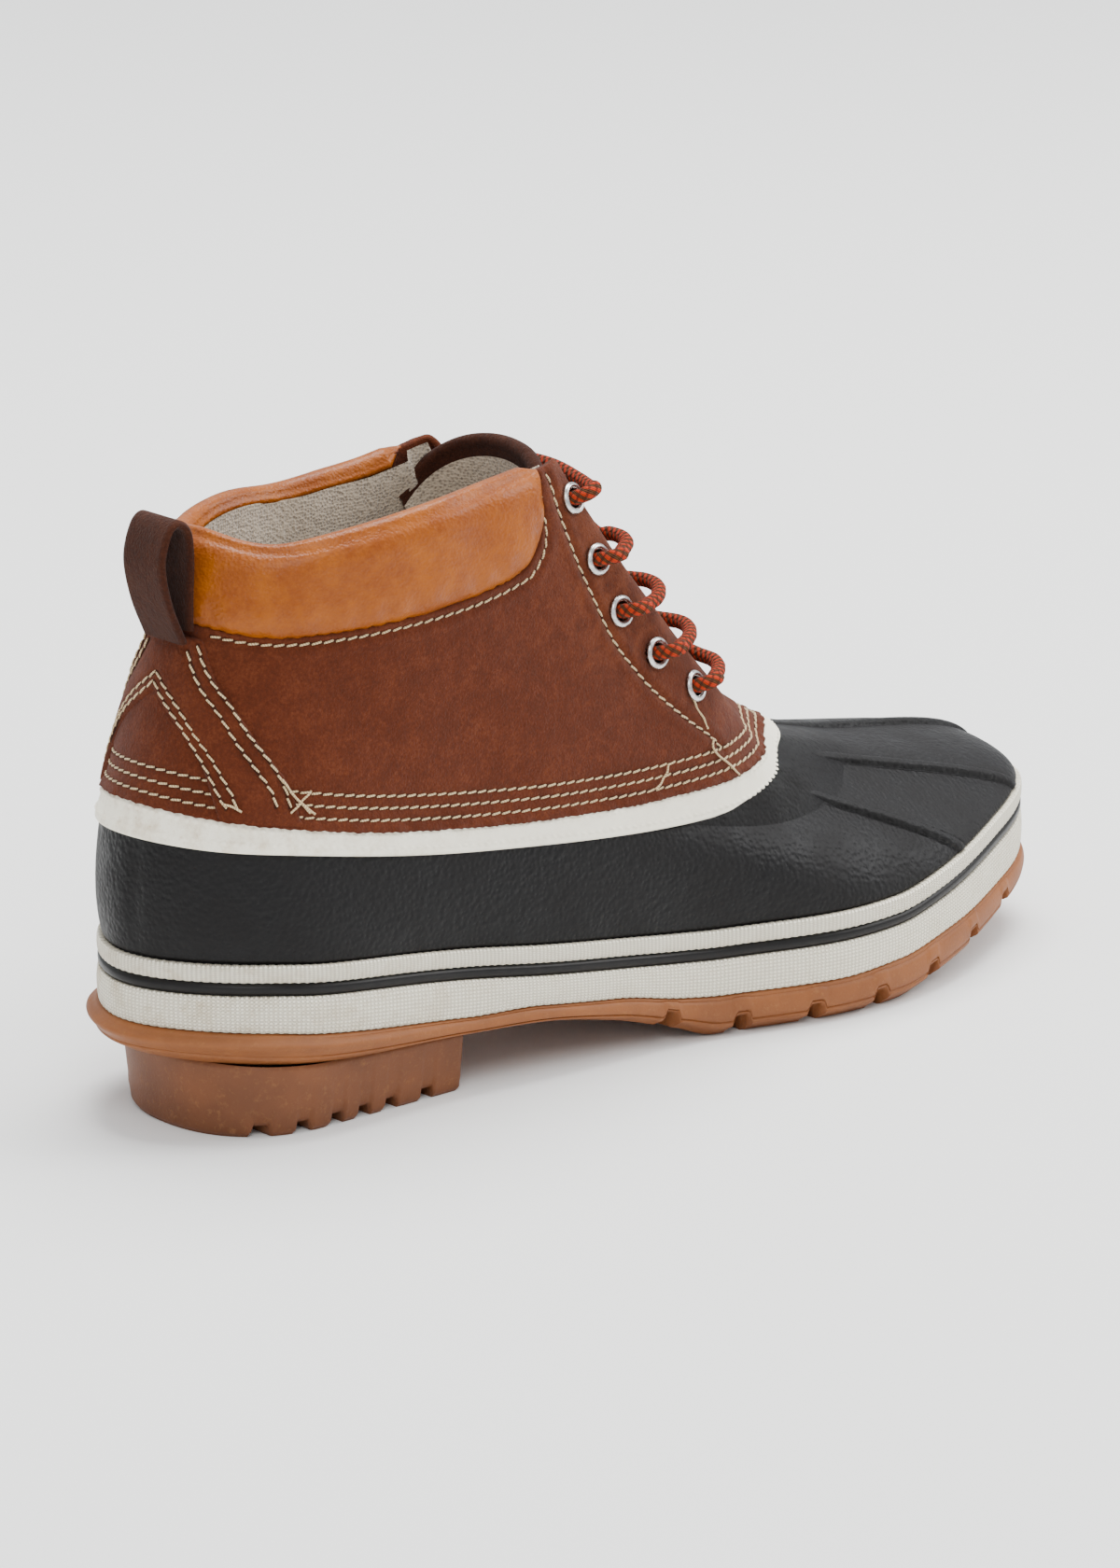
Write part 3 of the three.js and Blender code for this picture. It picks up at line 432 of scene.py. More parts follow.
class Value:
    # A number or a colour from a node: the operators add Math nodes
    def __init__(self, finish, socket):
        self.finish, self.socket = finish, socket

    def maths(self, operation, *others, swapped=False):
        values = [self, *others]
        if swapped:
            values.reverse()
        sockets = {i: value for i, value in enumerate(values)}
        return self.finish.node("Math", {"operation": operation}, sockets)

    def __add__(self, other):
        return self.maths("ADD", other)

    def __sub__(self, other):
        return self.maths("SUBTRACT", other)

    def __rsub__(self, other):
        return self.maths("SUBTRACT", other, swapped=True)

    def __mul__(self, other):
        return self.maths("MULTIPLY", other)

    def __truediv__(self, other):
        return self.maths("DIVIDE", other)

    def __rtruediv__(self, other):
        return self.maths("DIVIDE", other, swapped=True)

    def __pow__(self, other):
        return self.maths("POWER", other)

    __radd__, __rmul__ = __add__, __mul__

    def clamped(self, low, high):
        return self.finish.node("MapRange", {"interpolation_type": "SMOOTHSTEP"},
                                {"Value": self, "From Min": low, "From Max": high})

    def sine(self):
        return self.maths("SINE")

    def size(self):
        return self.maths("ABSOLUTE")

    def least(self, other):
        return self.maths("MINIMUM", other)

    def most(self, other):
        return self.maths("MAXIMUM", other)


class Finish:
    # A material: its shader's fixed values, and the nodes that vary over the surface
    def __init__(self, name, **fixed):
        self.material = bpy.data.materials.new(name)
        self.material.use_nodes = True
        self.tree = self.material.node_tree
        self.shader = self.tree.nodes["Principled BSDF"]
        for socket, value in fixed.items():
            words = socket[0].upper() + "".join(" " + c if c.isupper() else c for c in socket[1:])
            self.shader.inputs[words.replace("Ior", "IOR")].default_value = value
        self.place = self.node("TexCoord", {}, {}, "Object")
        self.lengths = self.node("UVMap", {"uv_map": "lengths"}, {})

    def node(self, kind, settings, sockets, out=0):
        made = self.tree.nodes.new("ShaderNode" + kind)
        for name, value in settings.items():
            if name == "stops":
                ramp = made.color_ramp.elements
                while len(ramp) < len(value):
                    ramp.new(0.5)
                for element, (position, colour) in zip(ramp, value):
                    element.position, element.color = position, colour
            else:
                setattr(made, name, value)
        for name, value in sockets.items():
            if isinstance(value, Value):
                self.tree.links.new(value.socket, made.inputs[name])
            else:
                made.inputs[name].default_value = value
        return Value(self, made.outputs[out])

    def noise(self, size, detail=3, roughness=0.5, vector=None, distortion=0):
        # size is a feature's width in millimetres
        return self.node("TexNoise", {}, {"Vector": vector or self.place, "Scale": 1000 / size,
                                          "Detail": detail, "Roughness": roughness, "Distortion": distortion})

    def cells(self, size, feature="F1", randomness=1, vector=None, out="Distance"):
        return self.node("TexVoronoi", {"feature": feature},
                         {"Vector": vector or self.place, "Scale": 1000 / size, "Randomness": randomness}, out)

    def axis(self, name, vector=None):
        return self.node("SeparateXYZ", {}, {"Vector": vector or self.place}, name)

    def stretched(self, x, y, z, vector=None):
        return self.node("Mapping", {}, {"Vector": vector or self.place, "Scale": (x, y, z)})

    def mix(self, factor, low, high, way="MIX"):
        def opaque(colour):
            return colour if isinstance(colour, Value) else (*colour[:3], 1)
        return self.node("Mix", {"data_type": "RGBA", "blend_type": way},
                         {0: factor, 6: opaque(low), 7: opaque(high)}, 2)

    def bump(self, height, depth, strength=1.0, under=None):
        # depth is the height of a full step in millimetres
        sockets = {"Height": height, "Distance": depth * 0.001, "Strength": strength}
        if under:
            sockets["Normal"] = under
        return self.node("Bump", {}, sockets)

    def wear(self, **varying):
        for socket, value in varying.items():
            words = socket[0].upper() + "".join(" " + c if c.isupper() else c for c in socket[1:])
            self.tree.links.new(value.socket, self.shader.inputs[words])
        return self.material


def colour(red, green, blue):
    def linear(value):
        value = value / 255
        return value / 12.92 if value <= 0.04045 else ((value + 0.055) / 1.055) ** 2.4
    return linear(red), linear(green), linear(blue), 1.0


print("tools ready")

# Finishes, first the soft ones
def suedeFinish(name, dark, body, light, lighterFront=False):
    f = Finish(name, roughness=0.95, specularIorLevel=0.12, sheenWeight=0.06, sheenRoughness=0.5)
    patches = f.noise(22, 4, 0.6).clamped(0.34, 0.66)
    brushed = f.noise(5.5, 4, 0.65, distortion=0.6).clamped(0.3, 0.7)
    nap = f.noise(0.9, 3, 0.7)
    shade = patches * 0.07 + brushed * 0.12 + nap * 0.7 + 0.05
    tone = f.node("ValToRGB", {"stops": [(0.1, dark), (0.5, body), (0.95, light)]}, {"Fac": shade})
    if lighterFront:
        # lighter in brushed patches towards the front and top of the upper
        front = f.axis("X").clamped(-0.045, -0.012) * f.axis("Z").clamped(0.092, 0.125)
        tone = f.mix(front * 0.5 * brushed, tone, light)
    fibres = f.bump(f.noise(0.6, 3, 0.7), 0.6, 0.8)
    return f.wear(baseColor=tone, normal=f.bump(f.noise(3.5, 4, 0.6), 0.9, 0.5, fibres))


def leatherFinish():
    f = Finish("tan leather", roughness=0.4, specularIorLevel=0.2, coatWeight=0.1, coatRoughness=0.2)
    rubbed = f.noise(9, 4, 0.6).clamped(0.3, 0.72)
    flecks = f.noise(1.6, 3, 0.7).clamped(0.35, 0.75)
    tone = f.mix(rubbed * 0.75, colour(124, 58, 1), colour(152, 80, 2))
    tone = f.mix(flecks * 0.15, tone, colour(176, 100, 16))
    grain = f.bump(f.cells(0.9, "F1"), 0.25, 0.6)
    creases = f.bump(f.noise(3.2, 3, 0.6, distortion=1.2), 0.7, 0.4, grain)
    return f.wear(baseColor=tone, roughness=0.34 + flecks * 0.2, normal=creases)


def rubberFinish():
    f = Finish("black moulded rubber", specularIorLevel=0.2)
    dull = f.noise(14, 4, 0.6).clamped(0.3, 0.7)
    dust = f.noise(2.2, 5, 0.7).clamped(0.5, 0.8)
    tone = f.mix(dull * 0.7, colour(9, 8, 9), colour(16, 14, 14))
    tone = f.mix(dust * 0.12, tone, colour(40, 37, 34))
    grain = f.bump(f.cells(1.3, "SMOOTH_F1", 0.9), 0.4, 0.9)
    wrinkles = f.bump(f.noise(2.6, 4, 0.62), 0.5, 0.5, grain)
    return f.wear(baseColor=tone, roughness=0.46 + dull * 0.16 + dust * 0.1, normal=wrinkles)


def foxingFinish(name, diamonds=True):
    f = Finish(name, roughness=0.62, specularIorLevel=0.4)
    grime = f.noise(7, 5, 0.7).clamped(0.42, 0.75)
    specks = f.noise(1.1, 4, 0.75).clamped(0.52, 0.8)
    atHeel = 1 - f.axis("X").clamped(-0.15, -0.03)
    dirty = (grime * 0.5 + specks * 0.35) * (0.25 + atHeel * 0.8)
    tone = f.mix(dirty, colour(246, 240, 220), colour(176, 146, 102))
    worn = f.bump(f.noise(2.4, 4, 0.6), 0.3, 0.5)
    if not diamonds:
        return f.wear(baseColor=tone, roughness=0.5 + grime * 0.2, normal=worn)
    across, rise = f.axis("X", f.lengths), f.axis("Y", f.lengths)
    first = (across * 2.6 + rise * 3.6).sine()
    second = (across * 2.6 - rise * 3.6).sine()
    lozenge = (first * second).clamped(-0.3, 0.3)
    # painted shade: darker beige in the grooves between the diamonds
    tone = f.mix((1 - lozenge) * 0.5, tone, colour(176, 164, 138))
    return f.wear(baseColor=tone, roughness=0.55 + grime * 0.2, normal=f.bump(lozenge, 0.6, 1.0, worn))


def gumFinish(name, body, deep):
    f = Finish(name, specularIorLevel=0.35, subsurfaceWeight=0.0)
    cloudy = f.noise(16, 4, 0.6).clamped(0.3, 0.7)
    scuffs = f.noise(2.0, 5, 0.72).clamped(0.5, 0.78)
    # painted shade: the gum turns darker within 2 to 20 mm of the floor
    low = 1 - f.axis("Z").clamped(0.002, 0.02)
    tone = f.mix(cloudy * 0.6 + low * 0.2, body, deep)
    tone = f.mix(scuffs * 0.22, tone, colour(188, 134, 86))
    fine = f.bump(f.noise(0.8, 3, 0.6), 0.2, 0.5)
    return f.wear(baseColor=tone, roughness=0.55 + scuffs * 0.2, normal=f.bump(scuffs, 0.15, 0.4, fine))


def liningFinish():
    f = Finish("brushed grey lining", roughness=1.0, specularIorLevel=0.1, sheenWeight=0.4, sheenRoughness=0.6)
    knit = f.cells(0.9, "F1", 0.7)
    tufts = f.noise(2.4, 4, 0.7)
    tone = f.mix(knit.clamped(0.1, 0.6) * 0.5 + tufts * 0.5, colour(116, 103, 88), colour(200, 182, 158))
    return f.wear(baseColor=tone, normal=f.bump(knit + tufts, 0.6, 0.8))


def threadFinish(name, light, dark):
    f = Finish(name, roughness=0.75, specularIorLevel=0.3, sheenWeight=0.2)
    twist = (f.axis("Y", f.lengths) * 9 + f.axis("X", f.lengths) * 6.28).sine()
    # painted shade: the thread is darker in the grooves of its twist
    tone = f.mix(twist.clamped(-0.9, 0.6) * 0.7 + f.noise(6, 3) * 0.3, dark, light)
    return f.wear(baseColor=tone, normal=f.bump(twist, 0.12, 0.7))


def braidFinish():
    # Two colours cross over each other in a herringbone round the cord
    f = Finish("braided cord", roughness=0.85, specularIorLevel=0.15, sheenWeight=0.03)
    turn, run = f.axis("X", f.lengths), f.axis("Y", f.lengths)
    right = (turn * 25.13 + run * 3.1).sine()
    left = (turn * 25.13 - run * 3.1).sine()
    bright = right.clamped(-0.2, 0.3)
    tone = f.mix(bright, colour(60, 40, 18), colour(168, 42, 10))
    tone = f.mix(left.clamped(0.35, 0.75) * 0.7, tone, colour(26, 17, 12))
    fine = (turn * 100.5 + run * 15).sine()
    tone = f.mix(fine.clamped(0.2, 1) * 0.2, tone, colour(200, 90, 44))
    return f.wear(baseColor=tone, normal=f.bump(right.most(left) + fine * 0.3, 0.35, 0.8))


def metalFinish():
    f = Finish("bright eyelet metal", metallic=1.0, baseColor=colour(205, 205, 203))
    marks = f.noise(1.5, 4, 0.6)
    tone = f.mix(marks.clamped(0.35, 0.7), colour(176, 174, 170), colour(228, 228, 226))
    return f.wear(baseColor=tone, roughness=0.18 + marks * 0.2)


suede = suedeFinish("brown suede", colour(54, 23, 10), colour(82, 36, 17), colour(114, 60, 34), True)
# dark suede for the tongue and pull loop, also the seam tubes of painted groove shade
darkSuedeAndGrooveShade = suedeFinish("dark suede strap and groove shade", colour(32, 14, 8), colour(54, 25, 13), colour(78, 42, 25))
leather, rubber, lining, braid, metal = (
    leatherFinish(), rubberFinish(), liningFinish(), braidFinish(), metalFinish())
foxingWhite, randWhite = foxingFinish("off-white foxing"), foxingFinish("off-white rand", False)
gum = gumFinish("gum rubber", colour(134, 78, 36), colour(108, 60, 26))
# the heel's gum is a darker copy of the sole's gum: painted shade under the boot
shadedHeelGum = gumFinish("gum heel in painted shade", colour(112, 64, 32), colour(86, 47, 22))
creamThread = threadFinish("cream thread", colour(222, 200, 156), colour(156, 126, 84))
rustCement = foxingFinish("reddish cement line", False)
print("finishes ready")

# Even columns round the boot, measured along the foxing
fineAt = np.linspace(0, 1, 4001)


def evenPlaces(count, line=foxingLine, crowd=None):
    # crowd, where given, is how many times closer together the columns stand at each place
    gaps = np.linalg.norm(np.diff(line(fineAt), axis=0), axis=1)
    if crowd is not None:
        gaps = gaps * crowd(0.5 * (fineAt[1:] + fineAt[:-1]))
    length = np.concatenate([[0], np.cumsum(gaps)])
    return np.interp(np.arange(count) / count * length[-1], length, fineAt)


def lengthsAt(places, line=foxingLine):
    gaps = np.linalg.norm(np.diff(line(fineAt), axis=0), axis=1)
    return np.interp(places, fineAt, np.concatenate([[0], np.cumsum(gaps)]))


def soleRing(at, inset, height):
    ring = foxingLine(at) - outward(at) * np.broadcast_to(inset, at.shape)[:, None]
    ring[:, 2] = height(ring[:, 0])
    return ring


def atHeelBack(at, width=0.12):
    return 1 - smooth(np.abs(at - 0.5), 0.3 * width, width)


# Outsole: gum side with a rolled lip at the heel, and lugs cut across the tread
outsoleSizes = {"columns": 960, "edgeInset": 3.2, "bulge": 1.2, "lip": 2.2, "lugGap": 4.6, "lugDepth": 4.0,
                "lugReach": 24.0, "lugs": [0.485, 0.555, 0.625, 0.695, 0.765, 0.835, 0.905]}


def treadRelief(x, y):
    size = outsoleSizes
    inLug = np.zeros_like(x)
    for share in size["lugs"]:
        gap = np.abs(x - share * boot["length"])
        inLug = np.maximum(inLug, 1 - smooth(gap, size["lugGap"] / 2 - 0.4, size["lugGap"] / 2 + 0.4))
    edge = boot["ballWidth"] / 2 - size["lugReach"] / 2 - 0.5 * size["lugGap"]
    across = smooth(np.abs(y), edge - 8, edge - 7)
    middle = 1 - smooth(np.abs(y), edge - 12, edge - 11)
    lug = inLug * across * size["lugDepth"]
    channel = inLug * middle * 1.6
    return lug + channel


def makeOutsole():
    size = outsoleSizes
    at = evenPlaces(size["columns"])
    t = np.concatenate([[0, .012, .03, .06], np.linspace(.1, .94, 22), [.97, .985, 1.0]])
    heelPart = atHeelBack(at, 0.15)
    rings = []
    for share in t:
        inset = size["edgeInset"] * (1 - smooth(share, 0, 0.32)) - size["bulge"] * math.sin(math.pi * share)
        inset = np.full_like(at, inset)
        inset -= heelPart * size["lip"] * math.exp(-((share - 0.72) / 0.2) ** 2)
        inset += 0.5 * math.exp(-((share - 0.38) / 0.025) ** 2) * (1 - 0.4 * heelPart)
        inset += 0.35 * math.exp(-((share - 0.90) / 0.03) ** 2)
        inset += 0.7 * smooth(share, 0.96, 1.0) + 0.8 * (1 - smooth(share, 0, 0.03))
        ring = foxingLine(at) - outward(at) * inset[:, None]
        low = soleFloor(ring[:, 0]) + treadRelief(ring[:, 0], ring[:, 1])
        high = seatHeight(ring[:, 0]) - 0.2
        ring[:, 2] = low + (high - low) * share
        rings.append(ring)
    grid = np.array(rings)
    side = gridPart(grid, wrapColumns=True, u=lengthsAt(at), v=t * 20)
    half = size["columns"] // 2
    place = at[1:half]
    outer, inner = grid[0, 1:half], grid[0, :half:-1]
    share = np.linspace(0, 1, 64)[:, None, None]
    floor = outer[None] * (1 - share) + inner[None] * share
    floor[..., 2] = soleFloor(floor[..., 0]) + treadRelief(floor[..., 0], floor[..., 1])
    floor[0], floor[-1] = outer, inner
    top = (grid[-1, 1:half] * 0.5 + grid[-1, :half:-1] * 0.5)
    topGrid = np.stack([grid[-1, 1:half], top, grid[-1, :half:-1]])[::-1]
    parts = [side, gridPart(floor), gridPart(topGrid)]
    return makePiece("outsole_gum", parts, gum, ["outsole"], sharpAngle=50)


makeOutsole()

# Heel block: squarish back, straight breast, grooves through its tread
heelBlock = {"half": 30.5, "shift": 3.0, "back": 10.3, "length": 74.5, "taper": 2.0, "power": 2 / 2.3,
             "grooves": [0.16, 0.30, 0.44, 0.56, 0.68, 0.84], "treadWidth": 4.2, "treadDepth": 3.0,
             "treadInset": 5.0, "reach": 24.0}


def heelRelief(x, y):
    size = heelBlock
    groove = np.zeros_like(x)
    for share in size["grooves"]:
        gap = np.abs(x - size["back"] - share * size["length"])
        groove = np.maximum(groove, 1 - smooth(gap, size["treadWidth"] / 2 - 0.3, size["treadWidth"] / 2 + 0.3))
    return groove * smooth(np.abs(y + size["shift"]), 13, 13.8) * size["treadDepth"]


def makeHeel():
    size = heelBlock
    arc = np.linspace(0, np.pi / 2, 90)[1:]
    straight = np.linspace(0, 1, 90)[1:]
    corner = np.linspace(0, np.pi / 2, 9)[1:]

    def outline(grow):
        half, back = size["half"] + grow, size["back"] - grow
        breast = size["back"] + size["length"]
        x = [back + half - half * np.cos(arc) ** size["power"]]
        y = [half * np.sin(arc) ** size["power"]]
        x.append(back + half + (breast - 2 - back - half) * straight)
        y.append(np.full(len(straight), half))
        x.append(breast - 2 + 2 * np.sin(corner))
        y.append(half - 2 + 2 * np.cos(corner))
        return np.concatenate(x), np.concatenate(y)

    rings = []
    t = np.array([0, .015, .04, .08, .16, .28, .4, .52, .64, .76, .86, .93, .97, 1.0])
    for share in t:
        grow = size["taper"] * share - 1.0 * (1 - smooth(share, 0, 0.07)) - 0.7 * smooth(share, 0.95, 1.0)
        grow += 0.25 * math.exp(-((share - 0.3) / 0.04) ** 2)
        x, y = outline(grow)
        inner = np.stack([x, y - size["shift"]], -1)
        outer = np.stack([x, -y - size["shift"]], -1)[::-1]
        back = np.array([[size["back"] - grow, -size["shift"]]])
        flat = np.vstack([back, inner, outer])
        low = heelRelief(flat[:, 0], flat[:, 1])
        high = soleFloor(flat[:, 0]) + 0.2
        rings.append(np.column_stack([flat, low + (high - low) * share]))
    grid = np.array(rings)[:, ::-1]
    count = (grid.shape[1] - 1) // 2
    side = gridPart(grid, wrapColumns=True, u=np.arange(grid.shape[1]), v=t * 20)
    ring = np.array(rings)[0]
    inner, outer = ring[1:count + 1], ring[:count:-1]
    share = np.linspace(0, 1, 50)[:, None, None]
    floor = outer[None] * (1 - share) + inner[None] * share
    floor[..., 2] = heelRelief(floor[..., 0], floor[..., 1])
    floor = floor[:, ::-1]
    return makePiece("heel_gum", [side, gridPart(floor)], shadedHeelGum, ["heel"], sharpAngle=50)


makeHeel()

# Foxing: two off-white bands with the stripe between, each a rounded strip round the skirt
bandSizes = {"columns": 900, "corner": 0.55, "stripeRecess": 0.5}


def stripeFoot(x):
    return weltHeight(x) - boot["topBand"] - boot["stripe"]


def stripeTop(x):
    return weltHeight(x) - boot["topBand"]


def makeBand(name, low, high, recess, finish, replaced, crown=0.25, ripple=0.12):
    at = evenPlaces(bandSizes["columns"])
    length = lengthsAt(at)
    corner = bandSizes["corner"]
    profile = [(corner, 0), (0.25 * corner, 0.25 * corner), (0, corner)]
    rows = [(inset, "low", rise) for inset, rise in profile]
    rows += [(-crown * math.sin(math.pi * share), "share", share) for share in (0.2, 0.4, 0.6, 0.8)]
    rows += [(inset, "high", rise) for inset, rise in reversed(profile)]
    rows += [(boot["foxingThick"], "high", 0), (boot["foxingThick"], "low", 0)]
    rings, v = [], []
    for inset, kind, amount in rows:
        wave = ripple * np.sin(length * 2 * np.pi / 2.4 + (1.5 if kind == "low" else 0)) if kind != "share" else 0
        if kind == "low":
            ring = soleRing(at, recess + inset, lambda x: low(x) + amount)
            ring[:, 2] += wave if inset < boot["foxingThick"] else 0
            v.append(amount)
        elif kind == "high":
            ring = soleRing(at, recess + inset, lambda x: high(x) - amount)
            ring[:, 2] += wave if inset < boot["foxingThick"] else 0
            v.append(9 - amount)
        else:
            ring = soleRing(at, recess + inset, lambda x: low(x) + (high(x) - low(x)) * amount)
            v.append(9 * amount)
        rings.append(ring)
    part = gridPart(np.array(rings), wrapColumns=True, wrapRows=True, u=length, v=v)
    return makePiece(name, [part], finish, [replaced])


stripeRubber = Finish("smooth black stripe", roughness=0.4, specularIorLevel=0.2)
stripeWorn = stripeRubber.noise(5, 4, 0.6)
stripeRubber = stripeRubber.wear(
    baseColor=stripeRubber.mix(stripeWorn, colour(10, 9, 10), colour(26, 24, 23)),
    normal=stripeRubber.bump(stripeWorn, 0.3, 0.4))
makeBand("foxing_band_lower", seatHeight, lambda x: stripeFoot(x) - 0.1, 0, foxingWhite,
         "foxing_lower", 0.35)
makeBand("foxing_stripe_black", stripeFoot, stripeTop, bandSizes["stripeRecess"], stripeRubber,
         "foxing_stripe", 0.5, 0.0)
makeBand("foxing_band_upper", lambda x: stripeTop(x) + 0.1, weltHeight, 0, foxingWhite,
         "foxing_upper", 0.15)
print("sole and foxing made")

# Shell: moulded rubber wall with five ridges over the vamp
shellSizes = {"columns": 620, "rows": 64, "ridges": [0.113, 0.054, 0.0, 0.946, 0.887], "ridgeHeight": 1.35,
              "ridgeHalf": 1.9, "heelValley": 0.4925, "valleyDepth": 0.7, "valleyHalf": 2.2}


def ridgeRelief(at, level):
    size = shellSizes
    scale = np.linalg.norm(wall(at + 0.002, level) - wall(at - 0.002, level), axis=-1) / 0.004
    relief = np.zeros(np.broadcast(at, level).shape)
    fade = np.maximum(np.sin(np.pi * np.clip(level, 0, 1)), 0) ** 0.35
    for ridge in size["ridges"]:
        gap = np.abs((at - ridge + 0.5) % 1 - 0.5) * scale
        crown = np.sqrt(np.clip(1 - (gap / size["ridgeHalf"]) ** 2, 0, 1))
        relief += size["ridgeHeight"] * np.maximum(crown, 0) ** 0.7 * fade
        relief -= 0.35 * np.exp(-((gap - size["ridgeHalf"] - 0.5) / 0.6) ** 2) * fade
    return relief


def makeShell():
    size = shellSizes

    def crowd(at):
        near = np.zeros_like(at)
        for ridge in size["ridges"]:
            near = np.maximum(near, np.exp(-(((at - ridge + 0.5) % 1 - 0.5) / 0.009) ** 2))
        return 1 + 4.5 * near
    at = evenPlaces(size["columns"], crowd=crowd)
    top = topOfRand(at)
    rings = [soleRing(at, 3.3, seatHeight), soleRing(at, 3.3, lambda x: weltHeight(x) - 0.4)]
    foot = wall(at, 0.0)
    foot[:, 2] = weltHeight(foot[:, 0]) - 0.4
    rings.append(foot)
    v = [-12, -4, 0]
    for share in np.linspace(0, 1, size["rows"]):
        level = np.minimum(share * 1.12, 1.0) if share < 1 else 1.0
        level = np.full_like(at, share)
        scale = np.linalg.norm(wall(at + 0.002, level) - wall(at - 0.002, level), axis=-1) / 0.004
        valley = np.exp(-(((at - size["heelValley"]) * scale) / size["valleyHalf"]) ** 2)
        relief = ridgeRelief(at, level) - size["valleyDepth"] * valley * np.sin(np.pi * share) ** 0.5
        relief -= 0.9 * (1 - smooth(share, 0, 0.035))
        rings.append(offsetWall(at, level, relief))
        v.append(1 + share * 60)
    for share in (0.5, 1.0):
        rings.append(offsetWall(at, 1 + share * (top - 1), np.zeros_like(at)))
        v.append(62 + 5 * share)
    rings.append(offsetWall(at, top, np.full_like(at, -boot["shellWall"])))
    rings.append(offsetWall(at, np.full_like(at, 0.55), np.full_like(at, -boot["shellWall"])))
    rings.append(offsetWall(at, np.full_like(at, 0.05), np.full_like(at, -boot["shellWall"])))
    v += [70, 90, 120]
    part = gridPart(np.array(rings), wrapColumns=True, u=lengthsAt(at), v=v)
    return makePiece("shell_rubber", [part], rubber, ["shell"])


makeShell()

# Rand: flat off-white strip over the shell's top, with two rows of moulded stitches
randSizes = {"columns": 1680, "pitch": 2.4, "long": 1.7, "tall": 1.3, "rise": 0.55, "lowRow": 2.2, "highRow": 8.0}


def levelSpeed(at, level):
    return np.linalg.norm(wall(at, level + 0.02) - wall(at, level - 0.02), axis=-1) / 0.04


def makeRand():
    size = randSizes

    def line(at):
        return wall(at, np.full_like(at, 1.05))
    at = evenPlaces(size["columns"], line)
    length = lengthsAt(at, line)
    total = lengthsAt(np.array([1.0]), line)[0]
    pitch = total / round(total / size["pitch"])
    top = topOfRand(at)
    tall = (top - 1) * levelSpeed(at, 1.06)
    along = np.abs((length / pitch + 0.5) % 1 - 0.5) * pitch
    rings, v = [], []
    face = boot["gap"] + boot["randThick"]
    for offset, share in [(0.2, 0.0), (face - 0.45, 0.0)]:
        rings.append(offsetWall(at, 1 + share * (top - 1) - 0.004, np.full_like(at, offset)))
        v.append(0)
    for share in np.linspace(0.0, 1.0, 34):
        rise = share * tall
        low = np.sqrt(((rise - size["lowRow"]) / (size["tall"] / 2)) ** 2 + (along / (size["long"] / 2)) ** 2)
        high = np.sqrt(((rise - tall + 1.9) / (size["tall"] / 2)) ** 2 + (along / (size["long"] / 2)) ** 2)
        bumps = size["rise"] * (np.clip(1 - low, 0, 1) ** 0.5 + np.clip(1 - high, 0, 1) ** 0.5)
        edge = 0.35 * (1 - smooth(rise, 0, 0.5)) + 0.35 * (1 - smooth(tall - rise, 0, 0.5))
        rings.append(offsetWall(at, 1 + share * (top - 1), face - edge + bumps))
        v.append(share * 9.6)
    rings.append(offsetWall(at, top, np.full_like(at, 0.2)))
    v.append(10)
    part = gridPart(np.array(rings), wrapColumns=True, u=length, v=v)
    return makePiece("rand_strip", [part], randWhite, ["rand"])


makeRand()
print("shell and rand made")

# Stitch lines as places (share round, level) on the wall of the outer side; the inner side mirrors them
seamLines = {
    "eyestay": [(.1795, 1.985), (.1807, 1.952), (.1853, 1.887), (.1893, 1.795), (.1929, 1.69), (.196, 1.557),
                (.1955, 1.485), (.192, 1.416), (.1869, 1.344), (.1764, 1.259), (.165, 1.193), (.159, 1.15)],
    "collarSeam": [(.1992, 1.9), (.201, 1.857), (.2124, 1.793), (.2316, 1.742), (.2454, 1.727), (.27, 1.712),
                   (.31, 1.699), (.36, 1.692), (.41, 1.69), (.45, 1.69), (.475, 1.69)],
    "backOuter": [(.4796, 1.653), (.4743, 1.59), (.4678, 1.537), (.4586, 1.477), (.4503, 1.402), (.439, 1.31),
                  (.4329, 1.237), (.4300, 1.16)],
    "backInner": [(.4846, 1.627), (.4795, 1.565), (.473, 1.508), (.4635, 1.443), (.4555, 1.37), (.445, 1.28),
                  (.4385, 1.215), (.4360, 1.16)],
    "backFront": [(.4775, 1.672), (.4705, 1.58), (.4628, 1.51), (.4535, 1.45), (.4455, 1.38), (.4345, 1.29),
                  (.4286, 1.22), (.4250, 1.12)],
    "chevronUp": [(.5, 1.536), (.494, 1.501), (.4828, 1.436), (.4737, 1.368), (.4657, 1.306), (.4604, 1.251),
                  (.4554, 1.194), (.4529, 1.146)],
    "chevronLow": [(.5, 1.505), (.4942, 1.467), (.4814, 1.39), (.4727, 1.321), (.4662, 1.257), (.4609, 1.189),
                   (.457, 1.143)],
    "chevronEdge": [(.5, 1.478), (.4931, 1.438), (.4807, 1.367), (.4697, 1.277), (.4635, 1.178), (.4600, 1.10)],
}
collarFront = [(.1842, 2.0), (.1925, 1.93), (.1965, 1.895), (.2118, 1.826), (.2297, 1.777), (.2416, 1.757),
               (.26, 1.742), (.30, 1.725), (.35, 1.716), (.40, 1.712), (.45, 1.712), (.5, 1.712)]


def mirrored(line):
    return [(1 - at, level) for at, level in line]


def placedLine(line, count, offset=1.5):
    smoothLine = curveThrough(line, count)
    return offsetWall(smoothLine[:, 0], smoothLine[:, 1], np.full(count, offset)), smoothLine


collarEdge = np.vstack([placedLine(collarFront, 260)[0], placedLine(mirrored(collarFront), 260)[0]])
# Where the collar's lower edge runs, as a level for each column
edgePlace = curveThrough(collarFront, 400)


def collarLevel(at):
    # The collar's edge as a level at each column; 2 in front of it
    folded = np.minimum(at % 1, 1 - at % 1)
    order = np.argsort(edgePlace[:, 0])
    return np.interp(folded, edgePlace[order, 0], edgePlace[order, 1], left=2.0)


